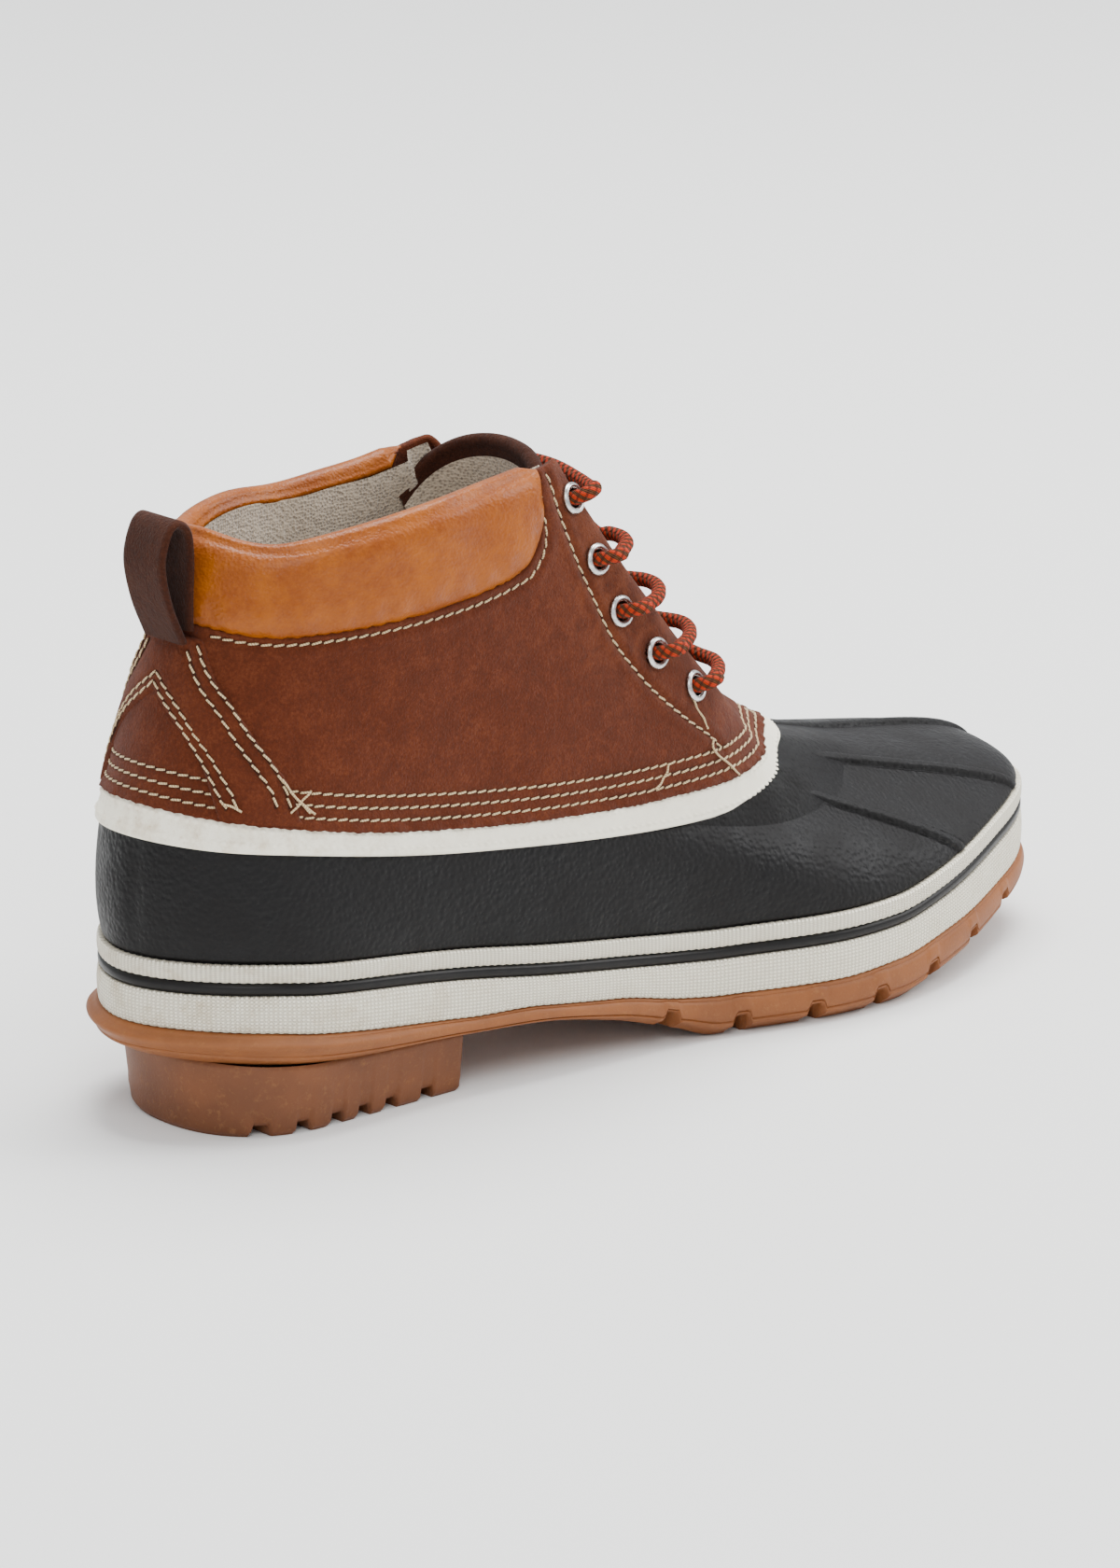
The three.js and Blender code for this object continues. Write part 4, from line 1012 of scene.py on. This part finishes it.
# Suede upper: one sheet from the hem to the top edge, sunk under the collar, with ten eyelet holes
suedeSizes = {"columns": 640, "rows": 112, "proud": 1.5, "overlap": 0.9, "hemLift": 0.55, "seamPull": 0.45,
              "seamWidth": 1.0, "hemRows": [3.2, 6.4, 9.6], "wave": 0.28, "seed": 11}
eyeletSizes = {"radius": 4.25, "hole": 2.5, "wall": 0.7}
# Places (share round, level) on the side of the facing, behind the ridge over which its front turns in
eyeletPlaces = [(0.170, 1.895), (0.178, 1.725), (0.182, 1.575), (0.173, 1.438), (0.156, 1.320)]


def eyeletFrame(share, level, side):
    at = 1 - share if side > 0 else share
    centre = offsetWall(at, level, suedeSizes["proud"])
    return {"centre": centre, "normal": wallNormal(at, level), "share": share, "side": side,
            "height": wall(at, level)[2]}


eyelets = {(row, side): eyeletFrame(share, level, side)
           for row, (share, level) in enumerate(eyeletPlaces) for side in (-1, 1)}


def facingRoute(eyelet, offset, step=0.012):
    # Where the wall has the eyelet's height, from the eyelet round the ridge to the facing's edge
    route = []
    levels = np.linspace(1, 2, 1001)
    for share in np.arange(eyelet["share"] - step, 0, -step):
        at = 1 - share if eyelet["side"] > 0 else share
        column = wall(np.full(len(levels), at), levels)
        if column[-1, 2] < eyelet["height"]:
            break
        route.append(offsetWall(at, np.interp(eyelet["height"], column[:, 2], levels), offset))
    return np.array(route)


def softWaves(points, size, seed, amount):
    # Slow swells in a soft sheet: a few fixed sine waves in space
    random = np.random.default_rng(seed)
    result = np.zeros(points.shape[:-1])
    for turn in range(7):
        way = random.normal(size=3)
        way = way / np.linalg.norm(way)
        length = size * random.uniform(0.7, 1.8)
        result += np.sin(points @ way * 2 * np.pi / length + random.uniform(0, 6.28))
    return amount * result / 3


def hemLevel(at, height):
    # The level at a height above the suede's lower edge
    foot = topOfRand(at) - suedeSizes["overlap"] / levelSpeed(at, 1.1)
    return foot + height / levelSpeed(at, 1.15)


# The sheet's columns, foot and offsets, kept for the stitches
suedeSheet = {}


def makeUpper():
    size = suedeSizes
    at = evenPlaces(size["columns"], lambda a: wall(a, np.full_like(a, 1.5)))
    foot, top = hemLevel(at, 0), np.full_like(at, 2.0)
    shares = np.linspace(0, 1, size["rows"])
    level = foot + shares[:, None] * (top - foot)
    base = wall(np.broadcast_to(at, level.shape), level)
    rise = shares[:, None] * np.linalg.norm(np.diff(base, axis=0), axis=-1).sum(0)
    offset = np.full_like(level, size["proud"])
    offset += softWaves(base, 26, size["seed"], size["wave"])
    offset += size["hemLift"] * (1 - smooth(rise, 1.0, 5.0))
    offset += (0.22 * np.sin(lengthsAt(at) * 2 * np.pi / 13) + 0.15 * np.sin(lengthsAt(at) * 0.83)) \
        * (1 - smooth(rise, 0.0, 3.0))
    for height in size["hemRows"]:
        offset -= size["seamPull"] * np.exp(-((rise - height) / size["seamWidth"]) ** 2)
    for name in ("eyestay", "collarSeam"):
        for line in (seamLines[name], mirrored(seamLines[name])):
            gap = nearestDistance(base, placedLine(line, 200, 0)[0])
            offset -= size["seamPull"] * np.exp(-(gap / size["seamWidth"]) ** 2)
            offset += 0.3 * np.exp(-((gap - 2.2) / 1.4) ** 2)
    # under the collar the suede drops away
    edgeGap = nearestDistance(base, np.vstack([placedLine(collarFront, 260, 0)[0],
                                               placedLine(mirrored(collarFront), 260, 0)[0]]))
    inside = level > collarLevel(at)[None]
    signed = np.where(inside, edgeGap, -edgeGap)
    offset -= 2.6 * smooth(signed, -0.2, 1.6)
    # the facing's edge rounds over
    offset -= 0.5 * (1 - smooth((1 - shares[:, None]) * np.linalg.norm(base[-1] - base[0], axis=-1), 0, 0.9))
    suedeSheet.update(at=at, foot=foot, offset=offset)
    grid = base + wallNormal(np.broadcast_to(at, level.shape), level) * offset[..., None]
    raw = 0.16 * np.sin(lengthsAt(at) * 2.1) + 0.1 * np.sin(lengthsAt(at) * 5.3 + 1)
    grid[0, :, 2] += raw
    turnIn = offsetWall(at, foot + 0.004, np.full_like(at, 0.9))
    turnIn[:, 2] += raw
    topIn = offsetWall(at, top, np.full_like(at, -boot["suedeWall"] + 1.5 - 0.4))
    below = offsetWall(at, top - 0.02, np.full_like(at, -boot["suedeWall"] + 1.5))
    deep = offsetWall(at, np.maximum(top - 0.6, foot), np.full_like(at, -boot["suedeWall"] + 1.5))
    full = np.concatenate([turnIn[None], grid, topIn[None], below[None], deep[None]])
    faces = gridFaces(len(full), size["columns"], True, False)
    rows = np.concatenate([[-1], shares * 80, [81, 82, 95]])
    uvs = gridUvs(len(full), size["columns"], True, False, lengthsAt(at), rows).reshape(len(faces), 4, 2)
    middles = full.reshape(-1, 3)[faces].mean(1)
    keep = np.ones(len(faces), bool)
    for eyelet in eyelets.values():
        keep &= np.linalg.norm(middles - eyelet["centre"], axis=1) > eyeletSizes["hole"] + 1.0
    part = {"points": full, "faces": faces[keep], "uvs": uvs[keep].reshape(-1, 2)}
    return makePiece("upper_suede", [part], suede, ["upper"])


makeUpper()

# Lining: grey pile inside the upper, from the insole to just under the collar's top
liningSizes = {"columns": 260, "rows": 40, "inset": 2.9, "pad": 1.6, "below": 0.02}


def makeLining():
    size = liningSizes
    at = evenPlaces(size["columns"], lambda a: wall(a, np.full_like(a, 1.5)))
    shares = np.linspace(0, 1, size["rows"])
    rings = []
    for share in shares:
        level = 0.62 + share * (2 - 0.62)
        level = np.full_like(at, level) - size["below"] * share * (collarLevel(at) < 1.99)
        pad = size["pad"] * smooth(level, 1.6, 1.8) * (collarLevel(at) < 1.99)
        grid = offsetWall(at, level, -size["inset"] - pad)
        rings.append(grid)
    grid = np.array(rings)[::-1]
    inner = grid + softWaves(grid, 18, 5, 0.35)[..., None] * -outward(at)[None]
    part = gridPart(inner, wrapColumns=True, u=lengthsAt(at), v=shares * 90)
    return makePiece("lining_pile", [part], lining)


makeLining()

# Collar: padded leather cuff, full between its seam and its top, turned over inside
collarSizes = {"columns": 420, "rows": 26, "puff": 4.7, "foot": 1.0, "wall": 3.2, "turnDown": 3.5,
               "pucker": 0.5, "pitch": 7.5, "seed": 23}


def makeCollar():
    size = collarSizes
    half = curveThrough(collarFront, 5000)
    points = offsetWall(half[:, 0], half[:, 1], np.zeros(len(half)))
    length = arcLength(points)
    # columns stand evenly along the collar's edge
    places = np.linspace(0.0, length[-1], size["columns"] // 2)
    lower = np.stack([np.interp(places, length, half[:, 0]), np.interp(places, length, half[:, 1])], -1)
    lower[0] = collarFront[0]
    lower = np.vstack([lower, mirrored(lower[-2::-1])])
    lowAt, lowLevel = lower[:, 0], lower[:, 1]
    folded = np.minimum(lowAt, 1 - lowAt)
    # the top of each column fans out to the collar's whole upper edge
    shares = np.linspace(0, 1, size["rows"])
    level = lowLevel + shares[:, None] * (2.0 - lowLevel)
    at = np.broadcast_to(lowAt, level.shape)
    base = wall(at, level)
    edge = np.vstack([placedLine(collarFront, 300, 0)[0], placedLine(mirrored(collarFront), 300, 0)[0]])
    gap = nearestDistance(base, edge)
    topGap = np.linalg.norm(base - base[-1], axis=-1)
    swell = np.sqrt(np.clip(1 - (1 - np.clip(gap / 9.0, 0, 1)) ** 2, 0, 1))
    roundTop = np.sqrt(np.clip(1 - (1 - np.clip(topGap / 6.0, 0, 1)) ** 2, 0, 1))
    along = np.cumsum(np.concatenate([[0], np.linalg.norm(np.diff(base[-1], axis=0), axis=1)]))
    random = np.random.default_rng(size["seed"])
    phase = np.cumsum(random.uniform(0.7, 1.5, len(along))) / 1.1
    pucker = np.sin(along / size["pitch"] * 2 * np.pi + 0.7 * np.sin(along * 0.21) + 0 * phase)
    pucker = size["pucker"] * pucker * np.exp(-((gap - 3.0) / 3.2) ** 2)
    offset = size["foot"] + (size["puff"] - size["foot"]) * swell * (0.25 + 0.75 * roundTop)
    offset = offset + (pucker + softWaves(base, 22, size["seed"], 0.55)) * np.minimum(swell, roundTop + 0.2)
    front = np.exp(-(gap / 1.2) ** 2)
    offset = offset - 0.4 * front
    grid = base + wallNormal(at, level) * offset[..., None]
    # over the top and down inside
    topAt = lowAt
    over = []
    outwards = wallNormal(topAt, np.full_like(topAt, 1.96))
    crest = base[-1]
    thin = np.clip(gap[-1] / 6.0, 0.15, 1.0)
    for angle in np.linspace(0.15, 1.0, 9) * np.pi:
        side = math.cos(angle)
        rise = math.sin(angle)
        middle = (offset[-1] - size["wall"] * thin) / 2
        wide = (offset[-1] + size["wall"] * thin) / 2
        over.append(crest + outwards * (middle + wide * side)[:, None] + up * (2.2 * rise * thin)[:, None])
    inside = []
    for share in (0.15, 0.35, 0.6, 0.85, 1.0):
        down = share * size["turnDown"] / levelSpeed(topAt, np.full_like(topAt, 1.9))
        bulge = size["wall"] * thin * (1 + 0.35 * math.sin(math.pi * share)) - 1.3 * share ** 3
        inside.append(offsetWall(topAt, 2 - down * thin, -bulge))
    full = np.concatenate([offsetWall(lowAt, lowLevel, np.full_like(lowAt, -0.3))[None], grid,
                           np.array(over), np.array(inside)])
    v = np.concatenate([[-1], shares * 26, 26 + np.arange(1, 10) * 0.9, 35 + np.arange(1, 6) * 2])
    part = gridPart(full, u=along, v=v)
    piece = makePiece("collar_leather", [part], leather, ["collar"])
    return piece


makeCollar()

# Backstay: a raised suede overlay down the heel with a pointed cut at its foot
backstaySizes = {"rows": 110, "across": 30, "foot": 1.6, "thick": 1.3, "edge": 0.9, "seamPull": 0.4}


def makeBackstay():
    size = backstaySizes
    front = curveThrough(seamLines["backFront"], 600)
    chevron = curveThrough(seamLines["chevronEdge"], 600)
    levels = np.linspace(1.672, 1.10, size["rows"])
    frontAt = np.interp(-levels, -front[:, 1], front[:, 0])
    chevronAt = np.where(levels > 1.478, 0.5, np.interp(-levels, -chevron[:, 1], chevron[:, 0]))
    # the top edge bows down a little towards the front, the foot stays on the hem
    across = np.linspace(0, 1, size["across"])
    parts = []
    for side in (-1, 1):
        at = frontAt[:, None] + across[None] * (chevronAt - frontAt)[:, None]
        level = np.broadcast_to(levels[:, None], at.shape)
        place = at if side < 0 else 1 - at
        floor = topOfRand(place) - 0.5 / levelSpeed(place, 1.1)
        level = np.maximum(level, floor)
        base = wall(place, level)
        lines = [seamLines["backFront"], seamLines["chevronEdge"]]
        lines = [mirrored(line) if side > 0 else line for line in lines]
        edgeGap = np.minimum(nearestDistance(base, placedLine(lines[0], 400, 0)[0]),
                             nearestDistance(base, placedLine(lines[1], 400, 0)[0]))
        edgeGap = np.minimum(edgeGap, np.linalg.norm(base - base[:1], axis=-1) + 0.05)
        raised = np.sqrt(np.clip(1 - (1 - np.clip(edgeGap / size["edge"], 0, 1)) ** 2, 0, 1))
        offset = size["foot"] - 0.5 + (size["thick"] + 0.5) * raised
        offset += softWaves(base, 26, suedeSizes["seed"], suedeSizes["wave"])
        for name in ("backOuter", "backInner", "chevronUp", "chevronLow"):
            line = mirrored(seamLines[name]) if side > 0 else seamLines[name]
            gap = nearestDistance(base, placedLine(line, 300, 0)[0])
            offset -= size["seamPull"] * np.exp(-(gap / 0.9) ** 2)
        grid = base + wallNormal(place, level) * offset[..., None]
        if side < 0:
            grid = grid[::-1]
        parts.append(gridPart(grid, u=across * 20, v=np.linspace(0, 50, size["rows"])))
    piece = makePiece("backstay_suede", parts, suede, ["backstay"])
    return piece


makeBackstay()
print("upper, lining, collar and backstay made")

# Tongue: a curved suede sheet with a thick rolled rim, and pile on its inner side
tongueRows = {
    "at": [-.010, .010, .040, .075, .113, .138, .150],
    "bulge": [-3.4, -3.2, -1.2, -.4, 1.6, 4.6, 6.5],
    "half": [.46, .56, .66, .77, .89, .98, 1.0],
    "depth": [5, 7, 9, 12, 17, 22, 24],
    "round": [0, 0, 0, 0, 0, 4, 8],
}
tongueSizes = {"halfWidth": 26.5, "foot": 9.0, "thick": 3.4, "rim": 2.6, "rows": 90, "across": 60, "wave": 0.4}


def tongueSheet(rows, across, inset):
    table = tongueRows
    knots = np.array(table["at"])
    places = np.linspace(knots[0], knots[-1], rows)

    def chord(at):
        at = np.maximum(at, 0)
        middle = (topLine(at) + topLine(1 - at)) / 2
        middle[:, 1] = 0
        return middle
    ahead = unit(chord(places + 0.008) - chord(places - 0.008))
    back = np.stack([-ahead[:, 2], np.zeros(rows), ahead[:, 0]], -1)
    columns = {name: np.interp(places, knots, table[name]) for name in table if name != "at"}
    columns = {name: np.convolve(np.pad(value, 5, "edge"), np.ones(11) / 11, "valid")
               for name, value in columns.items()}
    slide = np.clip(-places / 0.010, 0, 1) * tongueSizes["foot"]
    centre = chord(places) - ahead * slide[:, None] - back * columns["bulge"][:, None]
    angle = np.linspace(-np.pi / 2, np.pi / 2, across)
    bend = 1 - np.maximum(np.cos(angle), 0) ** 0.8
    reach = inset + (columns["depth"][:, None] - inset) * bend[None]
    grid = centre[:, None] + back[:, None] * reach[..., None]
    grid = grid - ahead[:, None] * (columns["round"][:, None] * bend[None])[..., None]
    grid[..., 1] = np.sin(angle)[None] * (columns["half"] * tongueSizes["halfWidth"] - inset)[:, None]
    return grid, ahead


def makeTongue():
    size = tongueSizes
    face, ahead = tongueSheet(size["rows"], size["across"], 0)
    inner, _ = tongueSheet(size["rows"], size["across"], size["thick"])
    waves = softWaves(face, 30, 31, size["wave"])
    way = unit(inner - face)
    face = face - way * waves[..., None]
    top = ahead[-1]
    rim = []
    for angle in np.linspace(0.12, 0.88, 7) * np.pi:
        middle = (face[-1] + inner[-1]) / 2
        wide = np.linalg.norm(face[-1] - inner[-1], axis=-1)[:, None] / 2 + 0.3
        rim.append(middle - way[-1] * wide * math.cos(angle) + top * size["rim"] * math.sin(angle))
    lip = inner[-1:-9:-1]
    full = np.concatenate([face, np.array(rim), lip])
    v = np.concatenate([np.linspace(0, 70, size["rows"]), 70 + np.arange(1, 8), 78 + np.arange(1, 9) * 0.8])
    part = gridPart(full[:, ::-1], u=np.linspace(0, 60, size["across"]), v=v)
    makePiece("tongue_suede", [part], darkSuedeAndGrooveShade, ["tongue"])
    pile = inner[:-3] + way[:-3] * 0.25
    part = gridPart(pile, u=np.linspace(0, 60, size["across"]), v=np.linspace(0, 70, size["rows"] - 3))
    makePiece("tongue_pile", [part], lining)


makeTongue()

# Pull loop: a folded strap standing up behind the collar
loopSizes = {"width": 17.0, "thick": 1.9, "shift": -2.4, "edge": 0.6, "steps": 120,
             "route": [(14.4, 127.5), (10.1, 137.6), (8.0, 148.0), (10.1, 156.0), (13.2, 158.4), (16.4, 155.5),
                       (17.1, 148.0), (16.7, 139.2), (16.5, 130.4)]}


def strapPart(route, across, width, thick, edge, columns=16):
    way = unit(np.gradient(route, axis=0))
    out = unit(np.cross(across, way))
    u = np.linspace(-1, 1, columns)
    high = thick / 2 * np.sqrt(np.clip(1 - np.maximum(np.abs(u) - 1 + 2 * edge / width, 0) ** 2
                                       / (2 * edge / width) ** 2, 0, 1))
    profile = np.concatenate([np.stack([u, high], -1), np.stack([u[::-1], -high[::-1]], -1)[1:-1]])
    grid = (route[:, None] + across * profile[None, :, :1] * width / 2 + out[:, None] * profile[None, :, 1:])
    count = profile.shape[0]
    part = gridPart(grid, wrapColumns=True, u=np.arange(count), v=arcLength(route))
    loops = np.arange(count)
    caps = [{"points": grid[end], "faces": np.stack([loops[:-2] * 0, loops[1:-1], loops[2:]], -1)[
        :, ::(1 if end else -1)]} for end in (0, -1)]
    return [part, *caps]


def makeLoop():
    size = loopSizes
    flat = curveThrough(size["route"], size["steps"])
    route = np.stack([flat[:, 0], np.full(len(flat), size["shift"]), flat[:, 1]], -1)
    parts = strapPart(route, np.array([0, 1.0, 0]), size["width"], size["thick"], size["edge"])
    return makePiece("pull_loop_suede", parts, darkSuedeAndGrooveShade, ["pull_loop"])


makeLoop()

# Insole board under a pile sock
insoleSizes = {"columns": 240, "rows": 12, "edge": 9.2, "thick": 4.0}


def makeInsole():
    size = insoleSizes
    at = evenPlaces(size["columns"])
    rings = [soleRing(at, size["edge"], lambda x: seatHeight(x)),
             soleRing(at, size["edge"], lambda x: seatHeight(x) + size["thick"] - 0.8),
             soleRing(at, size["edge"] + 0.8, lambda x: seatHeight(x) + size["thick"])]
    side = gridPart(np.array(rings), wrapColumns=True, u=lengthsAt(at), v=[0, 3, 4])
    half = size["columns"] // 2
    outer, inner = rings[-1][1:half], rings[-1][:half:-1]
    share = np.linspace(0, 1, 30)[:, None, None]
    floor = outer[None] * (1 - share) + inner[None] * share
    floor[..., 2] = seatHeight(floor[..., 0]) + size["thick"] \
        - 1.2 * np.sin(np.pi * share[..., 0]) * (0.5 + 0.5 * np.sin(floor[..., 0] / 31))
    return makePiece("insole_sock", [side, gridPart(floor[:, ::-1])], lining, ["insole"])


makeInsole()

# Eyelets: ten turned metal rings with a rolled flange and a barrel through the suede
def makeEyelets():
    size = eyeletSizes
    bore, outer = size["hole"], size["radius"]
    profile = [(bore, -2.4), (bore, 0.6), (bore + 0.15, 1.1), (bore + 0.5, 1.42), (bore + 0.95, 1.5)]
    profile += [(outer - 0.55, 1.42), (outer - 0.2, 1.2), (outer - 0.02, 0.85), (outer, 0.5), (outer - 0.2, 0.35)]
    profile += [(bore + size["wall"], 0.3), (bore + size["wall"], -2.4)]
    angles = np.linspace(0, 2 * np.pi, 48, endpoint=False)
    for (row, side), eyelet in eyelets.items():
        normal = eyelet["normal"]
        first = unit(np.cross(normal, [0.2, 0.9, 0.4]))
        second = np.cross(normal, first)
        around = np.cos(angles)[:, None] * first + np.sin(angles)[:, None] * second
        grid = np.array([eyelet["centre"] + around * radius + normal * rise for radius, rise in profile])
        part = gridPart(grid[:, ::-1], wrapColumns=True, wrapRows=True, u=np.arange(48), v=np.arange(12))
        sideName = "outer" if side < 0 else "inner"
        makePiece(f"eyelet_ring_{sideName}_{row + 1}", [part], metal,
                  [f"eyelet_{sideName}_{row + 1}"])


makeEyelets()

# Lace: comes up through each eyelet, crosses over the tongue and goes down behind the other facing
laceSizes = {"radius": 1.95, "lifts": [0, 3.4, 1.6, 1.0, 0.6], "arch": 3.2, "sides": 12, "seat": 3.6,
             "shoulder": 4.4, "loose": 0.4, "sunk": -2.9}


def strandRoute(start, end, lift, under=True):
    size = laceSizes

    def leave(eyelet):
        ahead = facingRoute(eyelet, suedeSizes["proud"] + size["seat"] + size["loose"])
        step = ahead[0] - eyelet["centre"]
        step = unit(step - eyelet["normal"] * (step @ eyelet["normal"]))

        def above(rise, along=0.0):
            return eyelet["centre"] + eyelet["normal"] * rise + step * along
        mouth = [above(-4.0), above(-1.2), above(1.6, 0.3), above(size["seat"] + 0.6, 1.7),
                 above(size["seat"] + 1.3, size["shoulder"])]
        return mouth, list(ahead)
    mouth, near = leave(start)
    farMouth, far = leave(end)
    outwards = unit(start["normal"] + end["normal"])
    middle = (near[-1] + far[-1]) / 2 + outwards * lift
    route = mouth + near + [(near[-1] + middle) / 2 + outwards * 0.25 * lift, middle]
    if under:
        below = facingRoute(end, size["sunk"])
        route += [(far[-1] + middle) / 2 - outwards * 1.2, below[-1]] + list(below[-2::-1][:3])
    else:
        route += [(far[-1] + middle) / 2 + outwards * 0.25 * lift] + far[::-1] + farMouth[::-1]
    return curveThrough(route, 170)


def makeLace():
    size = laceSizes
    routes = [strandRoute(eyelets[0, -1], eyelets[0, 1], size["arch"], under=False)]
    for row in range(1, 5):
        routes.append(strandRoute(eyelets[row, -1], eyelets[row - 1, 1], size["lifts"][row]))
        routes.append(strandRoute(eyelets[row, 1], eyelets[row - 1, -1], size["lifts"][row] - 1))
    parts = []
    for route in routes:
        parts += tubePart(route, size["radius"], size["sides"])
    return makePiece("lace_cord", parts, braid, ["lace"])


makeLace()
print("tongue, loop, insole, eyelets and lace made")

# Stitches: short sunk lengths of thread along the seams, over a dark suede tube that is painted shade in each
# seam's groove
# channel is the radius of the dark tube of painted groove shade
stitchSizes = {"length": 2.5, "pitch": 3.2, "radius": 0.3, "rise": 0.26, "sway": 0.2, "sides": 6,
               "channel": 0.5, "onBackstay": 2.75}
# Bar tacks and loose ends as short threads, each with its height over the wall
looseThreads = [
    ([(.4305, 1.219), (.4216, 1.146)], 3.1), ([(.4211, 1.22), (.4302, 1.145)], 3.3),
    ([(.165, 1.182), (.1687, 1.159), (.1573, 1.077)], 2.4), ([(.1650, 1.30), (.1640, 1.21)], 2.0),
    ([(.4582, 1.16), (.4550, 1.156), (.4509, 1.141)], 3.2), ([(.4337, 1.256), (.427, 1.19), (.4196, 1.143)], 3.1),
    ([(.2187, 1.106), (.211, 1.125), (.2023, 1.16)], 2.4), ([(.1990, 1.985), (.1935, 1.93)], 2.0),
]


def suedeLift(at, level):
    # How far the suede's surface stands over the wall at each place
    sheet = suedeSheet
    columns = len(sheet["at"])
    column = np.interp(at % 1, np.append(sheet["at"], 1), np.arange(columns + 1))
    foot = hemLevel(at, 0)
    row = np.clip((level - foot) / (2 - foot), 0, 1) * (len(sheet["offset"]) - 1)
    return sheet["offset"][np.rint(row).astype(int), np.rint(column).astype(int) % columns]


def stitchRow(at, level, lift):
    size = stitchSizes
    seam = offsetWall(at, level, lift)
    normals = wallNormal(at, level)
    length = arcLength(seam)
    count = max(int(length[-1] / size["pitch"]), 1)
    threads = []
    for middle in (np.arange(count) + 0.5) * length[-1] / count:
        along = np.linspace(-0.5, 0.5, 6) * size["length"]
        path = np.stack([np.interp(middle + along, length, seam[:, i]) for i in range(3)], -1)
        normal = np.array([np.interp(middle, length, normals[:, i]) for i in range(3)])
        across = unit(np.cross(normal, path[-1] - path[0]))
        arch = size["rise"] * (1 - 3.2 * (along / size["length"]) ** 2) - 0.05
        path = path + arch[:, None] * normal + np.outer(along / size["length"] * 2 * size["sway"], across)
        threads += tubePart(path, size["radius"], size["sides"])
    # a dark tube sunk along the seam: painted shade in the stitch groove
    channel = tubePart(seam - normals * 0.28, size["channel"], 6)
    return threads, channel


def makeStitches():
    size = stitchSizes
    rows = []
    around = np.linspace(0, 1, 1201)
    for height in suedeSizes["hemRows"]:
        level = hemLevel(around, height)
        rows.append((around, level, suedeLift(around, level)))
    for name in ("eyestay", "collarSeam"):
        for line in (seamLines[name], mirrored(seamLines[name])):
            seam = curveThrough(line, 260)
            rows.append((seam[:, 0], seam[:, 1], suedeLift(seam[:, 0], seam[:, 1])))
    for name in ("backOuter", "backInner", "chevronUp", "chevronLow"):
        for line in (seamLines[name], mirrored(seamLines[name])):
            seam = curveThrough(line, 200)
            rows.append((seam[:, 0], seam[:, 1], np.full(200, size["onBackstay"])))
    threads, grooveShadeTubes = [], []
    for at, level, lift in rows:
        made, channel = stitchRow(at, level, lift)
        threads += made
        grooveShadeTubes += channel
    for line, lift in looseThreads:
        seam = curveThrough(line, 14)
        wave = 0.25 * np.sin(np.arange(14) * 0.9)
        threads += tubePart(offsetWall(seam[:, 0], seam[:, 1], lift + wave), size["radius"], size["sides"])
    makePiece("seam_stitches", threads, creamThread)
    return makePiece("seam_groove_shade", grooveShadeTubes, darkSuedeAndGrooveShade)


makeStitches()
print("stitches made")

# Floor and light
def makeFloor():
    mesh = bpy.data.meshes.new("floor")
    mesh.from_pydata([(-6, -6, 0), (6, -6, 0), (6, 6, 0), (-6, 6, 0)], [], [(0, 1, 2, 3)])
    floor = bpy.data.objects.new("floor", mesh)
    bpy.context.scene.collection.objects.link(floor)
    f = Finish("pale floor", roughness=0.9, specularIorLevel=0.1)
    shade = f.mix(f.noise(900, 2), colour(236, 236, 234), colour(238, 238, 236))
    mesh.materials.append(f.wear(baseColor=shade))


def addLight(name, place, aim, size, power, tint=(1, 1, 1)):
    data = bpy.data.lights.new(name, "AREA")
    data.shape, data.size, data.energy, data.color = "DISK", size, power, tint
    lamp = bpy.data.objects.new(name, data)
    lamp.location = place
    lamp.rotation_euler = (Vector(aim) - Vector(place)).to_track_quat("-Z", "Y").to_euler()
    bpy.context.scene.collection.objects.link(lamp)


makeFloor()
world = bpy.data.worlds.new("studio")
world.use_nodes = True
world.node_tree.nodes["Background"].inputs["Color"].default_value = (0.95, 0.97, 1.0, 1)
world.node_tree.nodes["Background"].inputs["Strength"].default_value = 1.05
bpy.context.scene.world = world
addLight("key", (-1.2, -1.6, 1.9), (0, 0, 0.06), 1.2, 26)
addLight("fill", (1.8, -1.0, 1.5), (0, 0, 0.08), 1.2, 34)
addLight("top", (0.5, 0.3, 2.2), (0, 0, 0.1), 1.6, 85)
print("floor and light set")
